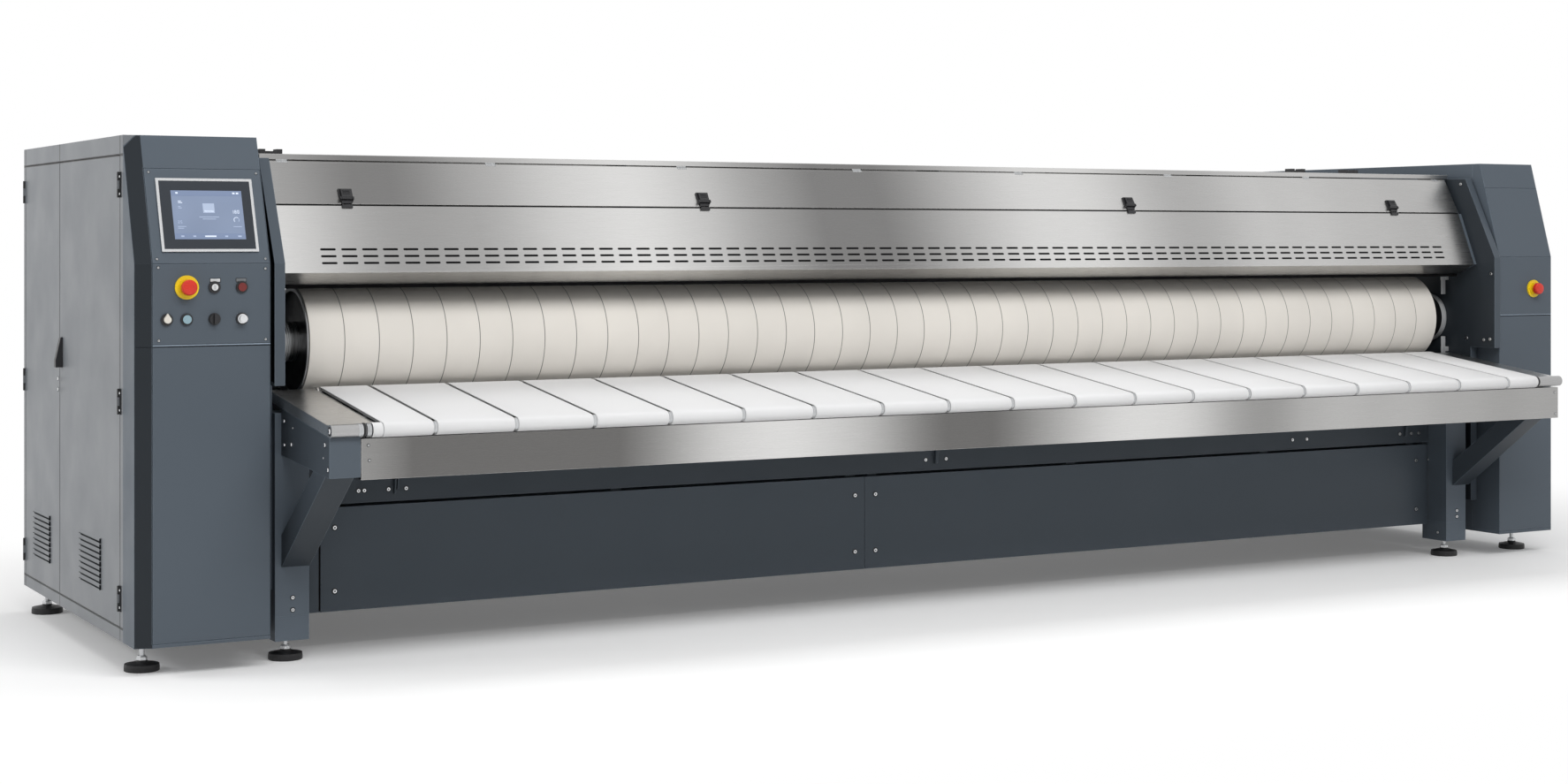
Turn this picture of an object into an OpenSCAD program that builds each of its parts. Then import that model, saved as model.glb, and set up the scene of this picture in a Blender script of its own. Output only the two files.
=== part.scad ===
// Flatwork ironer: a padded roll over a lifting heated chest, with a belt feed table in front,
// a slotted stainless canopy above and a cabinet at each end.
// X runs along the machine to the right of someone who feeds it, Y to the rear, Z up.
// The origin is on the floor, under the middle of the machine's box.

/* [Overall] */
// Height from the floor to the top of the side cabinets
height = 1800; // [1790:5:1900]
// Width of the left cabinet, which holds the controls and the switchgear
left_w = 453; // [430:1:560]
// Width of the right cabinet, which holds the drives
right_w = 353; // [340:1:480]
// Depth of the side cabinets behind their front housings
cabinet_depth = 1535; // [1520:5:1650]
// Clear width between the two cheek plates
clear_w = 5660; // [5640:10:6200]
// Joint between each cabinet and the cheek plate beside it
cheek_gap = 10; // [6:1:20]
// Height of the cabinets' undersides over the floor
floor_gap = 103; // [95:1:120]
// Sheet thickness of the painted casings
sheet = 3; // [2:0.5:4]

/* [Front housings] */
// How far the front housings stand out in front of the cabinets
housing_out = 165; // [150:1:190]
// Drop from the cabinets' top to where a housing's front bends back
bend_drop = 430; // [400:1:450]
// Depth left at the top of the left housing
left_top_out = 6; // [4:1:40]
// Depth left at the top of the right housing
right_top_out = 45; // [20:1:60]
// Width of the chamfer on the left housing's outer corner
left_chamfer_w = 55; // [40:1:60]
// Width of the chamfer on the right housing's outer corner
right_chamfer_w = 22; // [15:1:40]
// Depth of both chamfers
chamfer_d = 20; // [10:1:25]
// Drop from the cabinets' top to the seam over the lower covers
cover_seam_drop = 698; // [680:1:720]
// Drop from the cabinets' top to the seam over the screen panel
screen_seam_drop = 112; // [90:1:120]
// Open seam round each removable panel
seam = 1.5; // [1:0.5:2.5]

/* [Controls] */
// Diameter of the panel holes for the pilot devices
pilot_hole_d = 30.5; // [28:0.5:32]
// Diameter of a pilot device's bezel
bezel_d = 40; // [36:1:46]
// Diameter of an emergency stop's collar
estop_collar_d = 80; // [70:1:84]
// Diameter of an emergency stop's mushroom head
estop_head_d = 52; // [46:1:60]
// Travel of an emergency stop
estop_travel = 5; // [3:0.5:6]
// Travel of a push button
button_travel = 4; // [2:0.5:5]
// Place of the first column of devices from the cabinet's outer side
column_1 = 102; // [98:1:110]
// Place of the second column of devices
column_2 = 168; // [164:1:176]
// Step from the second column to the third and on to the fourth
column_step = 93; // [86:1:98]
// Drop from the housings' bend to the upper row of devices
upper_row_drop = 79; // [70:1:85]
// Step from the upper row of devices down to the lower row
row_step = 106; // [98:1:112]
// Drop from the housings' bend to the right cabinet's emergency stop
right_estop_drop = 146; // [100:1:190]
// Width of the touch panel's frame
touch_w = 327; // [300:1:330]
// Height of the touch panel's frame along the slope
touch_h = 262; // [240:1:275]
// Width of the glass's border at each side of the frame
touch_rim = 9; // [6:1:14]

/* [Doors] */
// Width of the casing's strip in front of the front door
front_strip = 38; // [34:1:60]
// Width of the casing's strip behind the rear door
rear_strip = 30; // [28:1:60]
// Width of the front door's opening
front_door_w = 886; // [780:1:920]
// Depth of the doors' folded edges
door_t = 20; // [16:1:26]
// Open seam round the doors
door_gap = 2; // [1.5:0.5:3]
// Length of a hinge
hinge_h = 86; // [70:1:100]
// Louvres in each door
louvres = 9; // [5:1:12]
// Step from one louvre to the next
louvre_step = 20; // [18:1:24]

/* [Roll] */
// Distance from each cheek plate to the padded roll
roll_side = 150; // [140:1:180]
// Radius of the padded roll
roll_r = 200; // [196:1:202]
// Thickness of the padding
padding_t = 8; // [6:1:12]
// Wall of the steel roll
shell_t = 12; // [8:1:16]
// Padding bands along the roll
bands = 42; // [20:1:44]
// Radius of the journals
journal_r = 45; // [40:1:50]
// Radius of the hubs
hub_r = 70; // [62:1:80]
// Distance of the roll's axis behind the cabinets' front
axis_back = 226; // [224:1:240]
// Drop from the cabinets' top to the roll's axis
axis_drop = 713; // [705:1:715]

/* [Chest] */
// Gap between the lifted chest and the padding
press_gap = 2.5; // [2:0.5:4]
// Wall of the heated chest
chest_t = 16; // [12:1:20]
// Distance that the chest drops away from the roll
chest_drop = 28; // [15:1:30]
// Reach of the chest to the front, in degrees from straight down
chest_front_angle = 32; // [25:1:34]
// Reach of the chest to the rear, in degrees from straight down
chest_rear_angle = 80; // [70:1:82]
// Radius of a heating rod
rod_r = 8; // [6:1:10]
// Heating rods round the chest
rods = 9; // [5:1:10]
// Thickness of the insulated jacket
jacket_t = 34; // [25:1:40]
// Lift cylinders along the chest
lifts = 5; // [3:1:7]
// Radius of a lift cylinder's piston rod
piston_r = 14; // [10:1:18]

/* [Feed table] */
// Reach of the belts in front of the cabinets' front
table_reach = 600; // [590:5:640]
// Drop from the roll's axis to the front roller's axis
nose_drop = 259; // [253:1:263]
// Rise of the belts from the front roller's axis to the drive roller's
table_rise = 81; // [75:1:84]
// Distance of the drive roller's axis behind the cabinets' front
drive_back = 50; // [40:1:52]
// Radius of the feed rollers
roller_r = 22; // [20:0.5:23]
// Thickness of the belts
belt_t = 2.7; // [2:0.1:3]
// Step from one belt to the next, before whole belts are fitted to the table
belt_pitch = 290; // [200:1:300]
// Gap between belts
belt_gap = 15; // [8:1:25]
// Width of the narrow belt at each end
edge_belt_w = 172; // [150:1:180]
// Distance from the left cheek plate to the first belt
belt_margin = 199; // [190:1:215]
// Distance from the last belt to the right cheek plate
belt_end_margin = 172; // [160:1:190]
// Height of the front bar
bar_h = 135; // [120:1:135]
// Drop from the front roller's axis to the front bar's lower edge
bar_drop = 163; // [160:1:168]
// Width of the arms that carry the table
arm_w = 105; // [90:1:105]

/* [Canopy] */
// Height of the band at the canopy's top edge
band_h = 20; // [16:1:30]
// Height of the lid
lid_h = 158; // [150:1:165]
// How far the lid leans back over its height
lid_back = 88; // [70:1:100]
// Height of the slotted panel
front_h = 237; // [225:1:240]
// How far the slotted panel leans back over its height
front_back = 98; // [80:1:110]
// Height of the lip under the slotted panel
lip_h = 43; // [30:1:46]
// How far the lip runs back under the panel
lip_back = 100; // [80:1:110]
// Drop from the cabinets' top to the canopy's top
canopy_drop = 50; // [45:1:70]
// Gap between the canopy's sheets and the cheek plates
canopy_gap = 20; // [14:1:30]
// Sheet thickness of the stainless panels
steel_t = 2.5; // [2:0.5:3]
// Least distance from the canopy's ends to its ventilation slots
slot_side = 130; // [115:1:180]
// Rows of slots
slot_rows = 3; // [1:1:4]
// Length of a slot
slot_len = 53; // [40:1:60]
// Height of a slot
slot_h = 5; // [4:0.5:8]
// Step from one slot to the next
slot_step = 76; // [72:1:78]

/* [Frame and feet] */
// Width of a leg
leg_w = 120; // [110:1:124]
// Depth of a leg
leg_d = 150; // [140:1:160]
// Distance of the legs' front in front of the cabinets' front
leg_out = 68; // [60:1:80]
// Height of the legs' lower ends
leg_z = 74; // [68:1:84]
// Wall of the frame's tubes
tube_t = 5; // [4:0.5:8]
// Height of the skirts' lower edge
skirt_z = 144; // [130:1:160]
// Drop from the front bar's lower edge to the skirts' upper edge
skirt_drop = 156; // [150:1:175]
// Radius of a foot pad
pad_r = 59; // [50:1:62]
// Height of a foot pad
pad_h = 26; // [20:1:30]
// Radius of a foot's spindle
spindle_r = 9; // [8:0.5:10]
// Radius of the exhaust spigot
spigot_r = 100; // [80:1:110]
// Length of the exhaust spigot
spigot_len = 60; // [40:1:60]
// Radius of the hole for the supply cable's gland
gland_r = 20; // [16:0.5:25]

/* [Hidden] */
$fn = 64;
// Overrun of every cut
over = 1;
// Clearance between pieces that lie beside each other
fit = 0.3;
// Radial clearance of a shaft in its bore
run = 0.05;

// Paint, steel and plastic
paint = "#5c636b";
door_paint = "#7b8187";
dark_paint = "#3c444c";
stainless = "#b9bbbc";
bright_steel = "#c8cacc";
black = "#1b1c1e";

// Places along X
cheek_t = 36;
handle_out = 26;
total_w = left_w + right_w + clear_w + 2 * (cheek_gap + cheek_t);
left_x = -(total_w - handle_out) / 2;
left_in = left_x + left_w;
cheek_lo = left_in + cheek_gap;
cheek_li = cheek_lo + cheek_t;
cheek_ri = cheek_li + clear_w;
cheek_ro = cheek_ri + cheek_t;
right_in = cheek_ro + cheek_gap;
right_x = right_in + right_w;
mid_x = (cheek_li + cheek_ri) / 2;
roll_x0 = cheek_li + roll_side;
roll_x1 = cheek_ri - roll_side;
roll_len = roll_x1 - roll_x0;

// Places along Y
front_y = (table_reach - cabinet_depth) / 2;
rear_y = front_y + cabinet_depth;
axis_y = front_y + axis_back;

// Heights, all hung from the cabinets' top
bend_z = height - bend_drop;
cover_seam_z = height - cover_seam_drop;
screen_seam_z = height - screen_seam_drop;
upper_row_z = bend_z - upper_row_drop;
lower_row_z = upper_row_z - row_step;
right_estop_z = bend_z - right_estop_drop;
axis_z = height - axis_drop;
nose_z = axis_z - nose_drop;
bar_z = nose_z - bar_drop;
skirt_top_z = bar_z - skirt_drop;

function unit(v) = v / norm(v);
function left_normal(a, b) = let (d = unit(b - a)) [-d[1], d[0]];
function mitre(p, n0, n1, t) = let (m = unit(n0 + n1)) p + m * t / (m * n0);
function last(p) = len(p) - 1;
// An open path moved to its left, with mitred corners
function moved_path(p, t) = [for (i = [0 : last(p)])
    mitre(p[i], left_normal(p[max(i - 1, 0)], p[max(i, 1)]),
        left_normal(p[min(i, last(p) - 1)], p[min(i + 1, last(p))]), t)];
function reversed(p) = [for (i = [last(p) : -1 : 0]) p[i]];
// The outline of a sheet that is bent along a path, with its thickness to the left
function bent_sheet(p, t) = concat(p, reversed(moved_path(p, t)));
// A closed counter-clockwise outline moved inwards
function inset(p, t) = [for (i = [0 : last(p)])
    let (a = p[(i + last(p)) % len(p)], c = p[(i + 1) % len(p)])
    mitre(p[i], left_normal(a, p[i]), left_normal(p[i], c), t)];
// Points of an arc about c, with angles from +Y round to +Z
function arc_points(c, r, a0, a1, n) = [for (i = [0 : n])
    let (a = a0 + (a1 - a0) * i / n) c + r * [cos(a), sin(a)]];

module block(low, high) translate(low) cube(high - low);
// An outline in Y and Z drawn out along X from x0 to x1
module along_x(x0, x1) translate([x0, 0, 0]) rotate([90, 0, 90]) linear_extrude(x1 - x0) children();
// An outline in X and Z drawn out along Y from y0 to y1
module along_y(y0, y1) translate([0, y1, 0]) rotate([90, 0, 0]) linear_extrude(y1 - y0) children();
module rod_x(x0, x1, y, z, r) translate([x0, y, z]) rotate([0, 90, 0]) cylinder(r = r, h = x1 - x0);
module rod_y(y0, y1, x, z, r) translate([x, y0, z]) rotate([-90, 0, 0]) cylinder(r = r, h = y1 - y0);
module rod_z(z0, z1, x, y, r) translate([x, y, z0]) cylinder(r = r, h = z1 - z0);
module from_left() translate([left_x, 0, 0]) children();
module from_right() translate([right_x, 0, 0]) mirror([1, 0, 0]) children();

// Frame: hollow legs with shoes, and the beams between them
leg_top_up = 28;
leg_top_z = nose_z + leg_top_up;
shoe_h = 85;
left_leg_x = cheek_li + fit;
right_leg_gap = 68;
right_leg_x = cheek_ri - right_leg_gap - leg_w;
leg_xs = [left_leg_x, right_leg_x];
front_leg_y = front_y - leg_out;
rear_leg_in = 55;
rear_leg_y = rear_y - rear_leg_in - leg_d;
rear_leg_drop = 307;
rear_leg_top_z = axis_z - rear_leg_drop;

module leg(x, y, top) {
    difference() {
        block([x, y, leg_z + shoe_h + fit], [x + leg_w, y + leg_d, top]);
        block([x + tube_t, y + tube_t, leg_z + shoe_h - over],
            [x + leg_w - tube_t, y + leg_d - tube_t, top - tube_t]);
    }
    // The shoe holds the foot's thread
    difference() {
        block([x, y, leg_z], [x + leg_w, y + leg_d, leg_z + shoe_h]);
        rod_z(leg_z - over, leg_z + shoe_h + over, x + leg_w / 2, y + leg_d / 2, spindle_r + run);
    }
}

module frame_legs() color(dark_paint) for (x = leg_xs) {
    leg(x, front_leg_y, leg_top_z);
    leg(x, rear_leg_y, rear_leg_top_z);
}

beam_h = 80;
side_beam_drop = 607;
side_beam_z = axis_z - side_beam_drop;
upper_beam_drop = 145;
upper_beam_h = 180;
upper_beam_z = bar_z - upper_beam_drop;
upper_beam_top_z = upper_beam_z + upper_beam_h;
skirt_in = 44;
skirt_y = front_y + skirt_in;
beam_d = 60;

module hollow_x(x0, x1, y0, y1, z0, z1, t) difference() {
    block([x0, y0, z0], [x1, y1, z1]);
    block([x0 - over, y0 + t, z0 + t], [x1 + over, y1 - t, z1 - t]);
}

module frame_beams() color(dark_paint) {
    // Beams that run back from leg to leg; the right one also reaches its cheek plate
    for (side = [[left_leg_x, left_leg_x + leg_w], [right_leg_x, cheek_ri - fit]]) difference() {
        block([side[0], front_leg_y + leg_d + fit, side_beam_z],
            [side[1], rear_leg_y - fit, side_beam_z + beam_h]);
        block([side[0] + tube_t, front_leg_y, side_beam_z + tube_t],
            [side[1] - tube_t, rear_leg_y, side_beam_z + beam_h - tube_t]);
    }
    x0 = left_leg_x + leg_w + fit;
    x1 = right_leg_x - fit;
    // Upper front beam, which the skirts hang under
    hollow_x(x0, x1, skirt_y, front_leg_y + leg_d, upper_beam_z, upper_beam_top_z, tube_t);
    // Rear beam
    hollow_x(x0, x1, rear_leg_y + leg_d - beam_d, rear_leg_y + leg_d,
        side_beam_z, side_beam_z + beam_h, tube_t);
    // Beam under the chest's lift cylinders
    hollow_x(x0, x1, axis_y - beam_h / 2, axis_y + beam_h / 2,
        side_beam_z, side_beam_z + beam_h, tube_t);
}

// Feet: round pads with threaded spindles and lock nuts
corner_foot_x = 70;
corner_foot_y = 30;
rear_foot_in = 85;
rear_foot_y = cabinet_depth - rear_foot_in;
foot_places = concat(
    [for (y = [front_y + corner_foot_y, front_y + rear_foot_y])
        for (x = [left_x + corner_foot_x, right_x - corner_foot_x]) [x, y, floor_gap]],
    [for (y = [front_leg_y, rear_leg_y]) for (x = leg_xs) [x + leg_w / 2, y + leg_d / 2, leg_z]]);
nut_r = 16;
nut_h = 10;
spindle_grip = 40;
pad_seat_h = 8;

module foot_spindles() color(bright_steel) for (p = foot_places) translate([p[0], p[1], 0]) {
    rod_z(pad_h - pad_seat_h, p[2] + spindle_grip, 0, 0, spindle_r);
    rod_z(p[2] - nut_h - fit, p[2] - fit, 0, 0, nut_r, $fn = 6);
    rod_z(pad_h + fit, pad_h + nut_h / 2, 0, 0, nut_r * 0.9);
}

module foot_pads() color(black) for (p = foot_places) translate([p[0], p[1], 0]) difference() {
    rotate_extrude() polygon([[0, 0], [pad_r - 2 * over, 0], [pad_r, 2 * over],
        [pad_r, pad_h * 0.6], [pad_r * 0.86, pad_h * 0.75], [pad_r * 0.45, pad_h], [0, pad_h]]);
    rod_z(pad_h - pad_seat_h, pad_h + over, 0, 0, spindle_r + run);
}

// Cheek plates: folded trays that carry the bearings and close the roll's ends
cheek_front = 180;
cheek_bottom_drop = 131;
cheek_bottom_z = axis_z - cheek_bottom_drop;
cheek_skin = 6;
cheek_top_drop = 69;
cheek_top_z = height - cheek_top_drop;
cheek_rear_in = 80;
cheek_rear = cabinet_depth - cheek_rear_in;
cheek_low_share = 0.52;
cheek_low_z = side_beam_z * cheek_low_share;
hood_bend_share = 0.717;
hood_bend = cabinet_depth * hood_bend_share;
cheek_outline = [
    [front_y - cheek_front, cheek_bottom_z],
    [front_y - 2 * fit - leg_out / 2, cheek_bottom_z],
    [front_y - 2 * fit - leg_out / 2, cheek_low_z],
    [front_y + cheek_rear, cheek_low_z],
    [front_y + cheek_rear, cheek_top_z - canopy_drop * 3.5],
    [front_y + hood_bend, cheek_top_z],
    [front_y, cheek_top_z],
    [front_y - cheek_front, bend_z]];
bearing_spigot_r = 76;
bearing_flange_r = 106;
boss_wall = 24;
standoff_r = 9;
drive_y = front_y + drive_back;
drive_z = nose_z + table_rise;
drive_shaft_r = 12;

module cheek(x0, skin_x, through) difference() {
    union() {
        difference() {
            along_x(x0, x0 + cheek_t) polygon(cheek_outline);
            translate([skin_x, 0, 0]) along_x(x0, x0 + cheek_t) polygon(inset(cheek_outline, cheek_skin));
        }
        rod_x(x0, x0 + cheek_t, axis_y, axis_z, bearing_spigot_r + boss_wall);
    }
    rod_x(x0 - over, x0 + cheek_t + over, axis_y, axis_z, bearing_spigot_r + fit);
    if (through) rod_x(x0 - over, x0 + cheek_t + over, drive_y, drive_z, drive_shaft_r + 2 * over);
}

// Stand-offs from the plates' skins to the cabinets
standoff_in = 160;
standoff_low_z = cheek_low_z + standoff_in;
standoff_high_z = cheek_top_z - standoff_in;
standoff_places = [[front_y + standoff_in, standoff_low_z],
    [front_y + cheek_rear - standoff_in, standoff_low_z],
    [front_y + standoff_in, standoff_high_z], [front_y + hood_bend - standoff_in, standoff_high_z]];

module cheek_plates() color(dark_paint) {
    cheek(cheek_lo, -cheek_skin, false);
    cheek(cheek_ri, cheek_skin, true);
    for (p = standoff_places) {
        rod_x(left_in + fit, cheek_li - over, p[0], p[1], standoff_r);
        rod_x(cheek_ri + over, right_in - fit, p[0], p[1], standoff_r);
    }
}

// Side cabinets: shells that are open to the outside for the doors or the side covers.
// They are drawn with their outer side at X = 0 and their inner side at X = w.
base_t = 6;
post_w = 30;
door_rise = 43;
door_drop = 65;
door_z0 = floor_gap + door_rise;
door_z1 = height - door_drop;
mullion_y = front_y + front_strip + front_door_w;
mullion_t = 26;
mullion_x0 = door_t + fit;
mullion_x1 = mullion_x0 + mullion_t;
bush_r = 22;
window_margin = 60;

module cabinet(w) {
    difference() {
        union() {
            block([0, front_y, floor_gap], [w, rear_y, height]);
            // The base runs on under the front housing
            block([left_chamfer_w + 2 * sheet, front_y - housing_out + 2 * sheet + fit, floor_gap],
                [w - 2 * sheet - fit, front_y + over, floor_gap + base_t]);
        }
        block([sheet, front_y + sheet, floor_gap + base_t], [w - sheet, rear_y - sheet, height - sheet]);
        block([-over, front_y + front_strip, door_z0], [sheet + over, rear_y - rear_strip, door_z1]);
        // Way for the wiring into the front housing
        block([window_margin, front_y - over, cover_seam_z],
            [w - window_margin, front_y + sheet + over, screen_seam_z - window_margin]);
        foot_bores();
    }
    for (y = [[front_y + sheet, front_y + front_strip], [rear_y - rear_strip, rear_y - sheet]])
        block([sheet, y[0], floor_gap + base_t], [sheet + post_w, y[1], height - sheet]);
    block([mullion_x0, mullion_y - post_w / 2, floor_gap + base_t],
        [mullion_x1, mullion_y + post_w / 2, height - sheet]);
    foot_bushes();
}

module foot_bores() for (y = [corner_foot_y, rear_foot_y])
    rod_z(floor_gap - over, floor_gap + spindle_grip + 2 * over, corner_foot_x, front_y + y, spindle_r + run);

module foot_bushes() difference() {
    for (y = [corner_foot_y, rear_foot_y])
        rod_z(floor_gap + base_t, floor_gap + spindle_grip, corner_foot_x, front_y + y, bush_r);
    foot_bores();
}

module left_cabinet() color(door_paint) from_left() difference() {
    cabinet(left_w);
    rod_z(floor_gap - over, floor_gap + base_t + over, left_w / 2, rear_y - 3 * window_margin, gland_r);
}

module right_cabinet() color(dark_paint) difference() {
    from_right() cabinet(right_w);
    block([right_in - over, front_y + sheet + over, drive_z - 3 * feed_gear_half],
        [right_in + sheet + over, axis_y + 4 * window_margin, axis_z + 3 * window_margin]);
}

// Front housings, drawn as the cabinets are
function housing_outline(top_out, back_y) = [
    [front_y - housing_out, floor_gap], [back_y, floor_gap], [back_y, height],
    [front_y - top_out, height], [front_y - housing_out, bend_z]];
function tilt(top_out) = atan((housing_out - top_out) / (height - bend_z));

// A housing's form, or what lies at a depth t inside it and runs out of its open back
module housing_solid(w, chamfer_w, top_out, t) difference() {
    along_x(t, w - t) polygon(inset(housing_outline(top_out, front_y + (t > 0 ? 2 * t : -fit)), t));
    translate([0, front_y - housing_out + chamfer_d, 0]) rotate([0, 0, -atan(chamfer_d / chamfer_w)])
        block([-chamfer_w, t - chamfer_w, 0], [3 * chamfer_w, t, height]);
    translate([0, front_y - housing_out + chamfer_d, bend_z]) rotate([-tilt(top_out), 0, 0])
        rotate([0, 0, -atan(chamfer_d * cos(tilt(top_out)) / chamfer_w)])
        block([-chamfer_w, t - chamfer_w, -height / 4], [3 * chamfer_w, t, height / 2]);
}

panel_edge = 3;
panel_flange = 12;
left_panel_x0 = left_chamfer_w + over;
right_panel_x0 = right_chamfer_w + over;
// Lower and upper edge of each panel: lower cover, button or stop panel, screen or upper panel
panel_zs = [[floor_gap + 4 * sheet, cover_seam_z], [cover_seam_z, bend_z], [bend_z, screen_seam_z]];

module panel_slot(w, x0, z, grow) block([x0 - grow, front_y - 2 * housing_out, z[0] + seam / 2 - grow],
    [w - panel_edge + grow, front_y - 4 * sheet, z[1] - seam / 2 + grow]);

module housing(w, chamfer_w, top_out, x0) difference() {
    housing_solid(w, chamfer_w, top_out, 0);
    housing_solid(w, chamfer_w, top_out, 2 * sheet);
    block([left_chamfer_w + 2 * sheet - fit, front_y - housing_out + 2 * sheet, floor_gap - over],
        [w - 2 * sheet, front_y, floor_gap + 3 * sheet]);
    difference() {
        panel_slot(w, x0, [panel_zs[0][0], panel_zs[2][1]], seam);
        housing_solid(w, chamfer_w, top_out, sheet);
    }
    for (z = panel_zs) panel_slot(w, x0, z, -panel_flange);
}

module panel(w, chamfer_w, top_out, x0, z) intersection() {
    difference() {
        housing_solid(w, chamfer_w, top_out, 0);
        housing_solid(w, chamfer_w, top_out, sheet - fit);
    }
    panel_slot(w, x0, z, 0);
}

module console_housings() color(paint) {
    from_left() housing(left_w, left_chamfer_w, left_top_out, left_panel_x0);
    from_right() housing(right_w, right_chamfer_w, right_top_out, right_panel_x0);
}

// The touch panel's own frame: X across, Z up the slope, Y into the housing
touch_x = left_panel_x0 + (left_w - panel_edge - left_panel_x0 - touch_w) / 2;
touch_up = 40;
touch_body_margin = 14;
touch_body_d = 45;
touch_out = 7;
touch_glass_t = 4;

module on_slope() from_left() translate([0, front_y - housing_out, bend_z])
    rotate([-tilt(left_top_out), 0, 0]) children();

module touch_hole(grow) let (m = touch_body_margin - grow)
    block([touch_x + m, -touch_body_d, touch_up + m],
        [touch_x + touch_w - m, touch_body_d, touch_up + touch_h - m]);

module screen_panel() color(paint) difference() {
    from_left() panel(left_w, left_chamfer_w, left_top_out, left_panel_x0, panel_zs[2]);
    on_slope() touch_hole(2 * fit);
}

module touch_bezel() color(stainless) on_slope() difference() {
    union() {
        block([touch_x, -touch_out, touch_up], [touch_x + touch_w, -fit, touch_up + touch_h]);
        intersection() {
            touch_hole(0);
            block([0, -touch_out + over, 0], [left_w, touch_body_d, height]);
        }
    }
    block([touch_x + touch_rim, -touch_out - over, touch_up + touch_rim],
        [touch_x + touch_w - touch_rim, -touch_out + touch_glass_t + over, touch_up + touch_h - touch_rim]);
}

module touch_glass() color(black) on_slope()
    block([touch_x + touch_rim + fit, -touch_out + over, touch_up + touch_rim + fit],
        [touch_x + touch_w - touch_rim - fit, -touch_out + over + touch_glass_t - fit,
            touch_up + touch_h - touch_rim - fit]);

// Pilot devices: each stands on the button panel, with its axis along Y
panel_y = front_y - housing_out;
column_3 = column_2 + column_step;
column_4 = column_3 + column_step;
left_estop_x = left_x + column_2;
right_estop_in = 138;
right_estop_x = right_x - right_estop_in;
key_x = left_x + column_3;
red_x = left_x + column_4;
white_x = left_x + column_1;
device_places = [[key_x, upper_row_z], [red_x, upper_row_z], [white_x, lower_row_z],
    [left_estop_x, lower_row_z], [key_x, lower_row_z], [red_x, lower_row_z]];
estop_places = [[left_estop_x, upper_row_z], [right_estop_x, right_estop_z]];
pilot_r = pilot_hole_d / 2 - fit;
bezel_out = 6;
contact_w = 34;
contact_d = 48;
actuator_r = 11;
estop_neck_r = 11;

module device_holes(places) for (p = places)
    rod_y(panel_y - over, panel_y + 2 * sheet, p[0], p[1], pilot_hole_d / 2);

module button_panel() color(paint) difference() {
    from_left() panel(left_w, left_chamfer_w, left_top_out, left_panel_x0, panel_zs[1]);
    device_holes(concat(device_places, [estop_places[0]]));
}

// A device's fixed body: bezel in front, barrel through the hole, contact block behind
module device_body(p, r, out, bore_r, travel) difference() {
    union() {
        rod_y(panel_y - out, panel_y - fit, p[0], p[1], r);
        rod_y(panel_y - out, panel_y + 2 * contact_w / 3, p[0], p[1], pilot_r);
        block([p[0] - contact_w / 2, panel_y + contact_w / 2, p[1] - contact_w / 2],
            [p[0] + contact_w / 2, panel_y + contact_w / 2 + contact_d, p[1] + contact_w / 2]);
    }
    rod_y(panel_y - out - over, panel_y + contact_w / 2 + travel, p[0], p[1], bore_r);
}

module pilot_bezels() color(black) for (p = device_places)
    device_body(p, bezel_d / 2, bezel_out, actuator_r + fit, button_travel + over);

module estop_collars() color("gold") for (p = estop_places) difference() {
    union() {
        device_body(p, estop_collar_d / 2, bezel_out, estop_neck_r + fit, estop_travel + over);
        rod_y(panel_y - 2 * bezel_out, panel_y - bezel_out, p[0], p[1], estop_collar_d * 0.36);
    }
    rod_y(panel_y - 2 * bezel_out - over, panel_y, p[0], p[1], estop_neck_r + fit);
}

module estop(p) color("red") translate([p[0], panel_y - 2 * bezel_out, p[1]]) rotate([90, 0, 0])
    rotate_extrude() polygon([[0, -2 * bezel_out - sheet], [estop_neck_r, -2 * bezel_out - sheet],
        [estop_neck_r, 2 * estop_travel], [estop_head_d * 0.46, 2 * estop_travel],
        [estop_head_d * 0.5, 2 * estop_travel + 3 * over], [estop_head_d * 0.5, estop_head_d * 0.5],
        [estop_head_d * 0.44, estop_head_d * 0.6], [estop_head_d * 0.25, estop_head_d * 0.635],
        [0, estop_head_d * 0.65]]);

module left_estop() estop(estop_places[0]);
module right_estop() estop(estop_places[1]);

// A push button's cap with its stem
cap_out = 5;
module push_button(x, z) {
    rod_y(panel_y - bezel_out - cap_out, panel_y + contact_w / 2, x, z, actuator_r);
    rod_y(panel_y - bezel_out - cap_out, panel_y - bezel_out - button_travel - fit, x, z, bezel_d * 0.36);
}
module red_button() color("firebrick") push_button(red_x, upper_row_z);
module blue_button() color("lightsteelblue") push_button(left_estop_x, lower_row_z);

// A turning knob: stem in the bezel's bore, skirt and grip in front
module turning(x, z) translate([x, panel_y - bezel_out, z]) rotate([90, 0, 0]) children();
stem_in = bezel_out + contact_w / 2;
grip_out = 16;

module key_switch() color(bright_steel) turning(key_x, upper_row_z) {
    translate([0, 0, -stem_in]) cylinder(r = actuator_r, h = stem_in + cap_out);
    // The key's bow
    block([-over, -actuator_r * 0.7, cap_out - over], [over, actuator_r * 0.7, cap_out + grip_out]);
}

module white_knob() color("ivory") turning(white_x, lower_row_z) {
    translate([0, 0, -stem_in]) cylinder(r = actuator_r * 0.9, h = stem_in + cap_out);
    linear_extrude(grip_out * 0.7) polygon(concat(arc_points([0, 0], bezel_d * 0.3, 130, 410, 16),
        [[0, bezel_d * 0.52]]));
}

module black_selector() color(black) turning(key_x, lower_row_z) {
    translate([0, 0, -stem_in]) cylinder(r = actuator_r, h = stem_in + over);
    translate([0, 0, fit]) cylinder(r = bezel_d * 0.44, h = cap_out);
    block([-bezel_d * 0.11, -bezel_d * 0.42, cap_out], [bezel_d * 0.11, bezel_d * 0.42, grip_out]);
}

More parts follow.
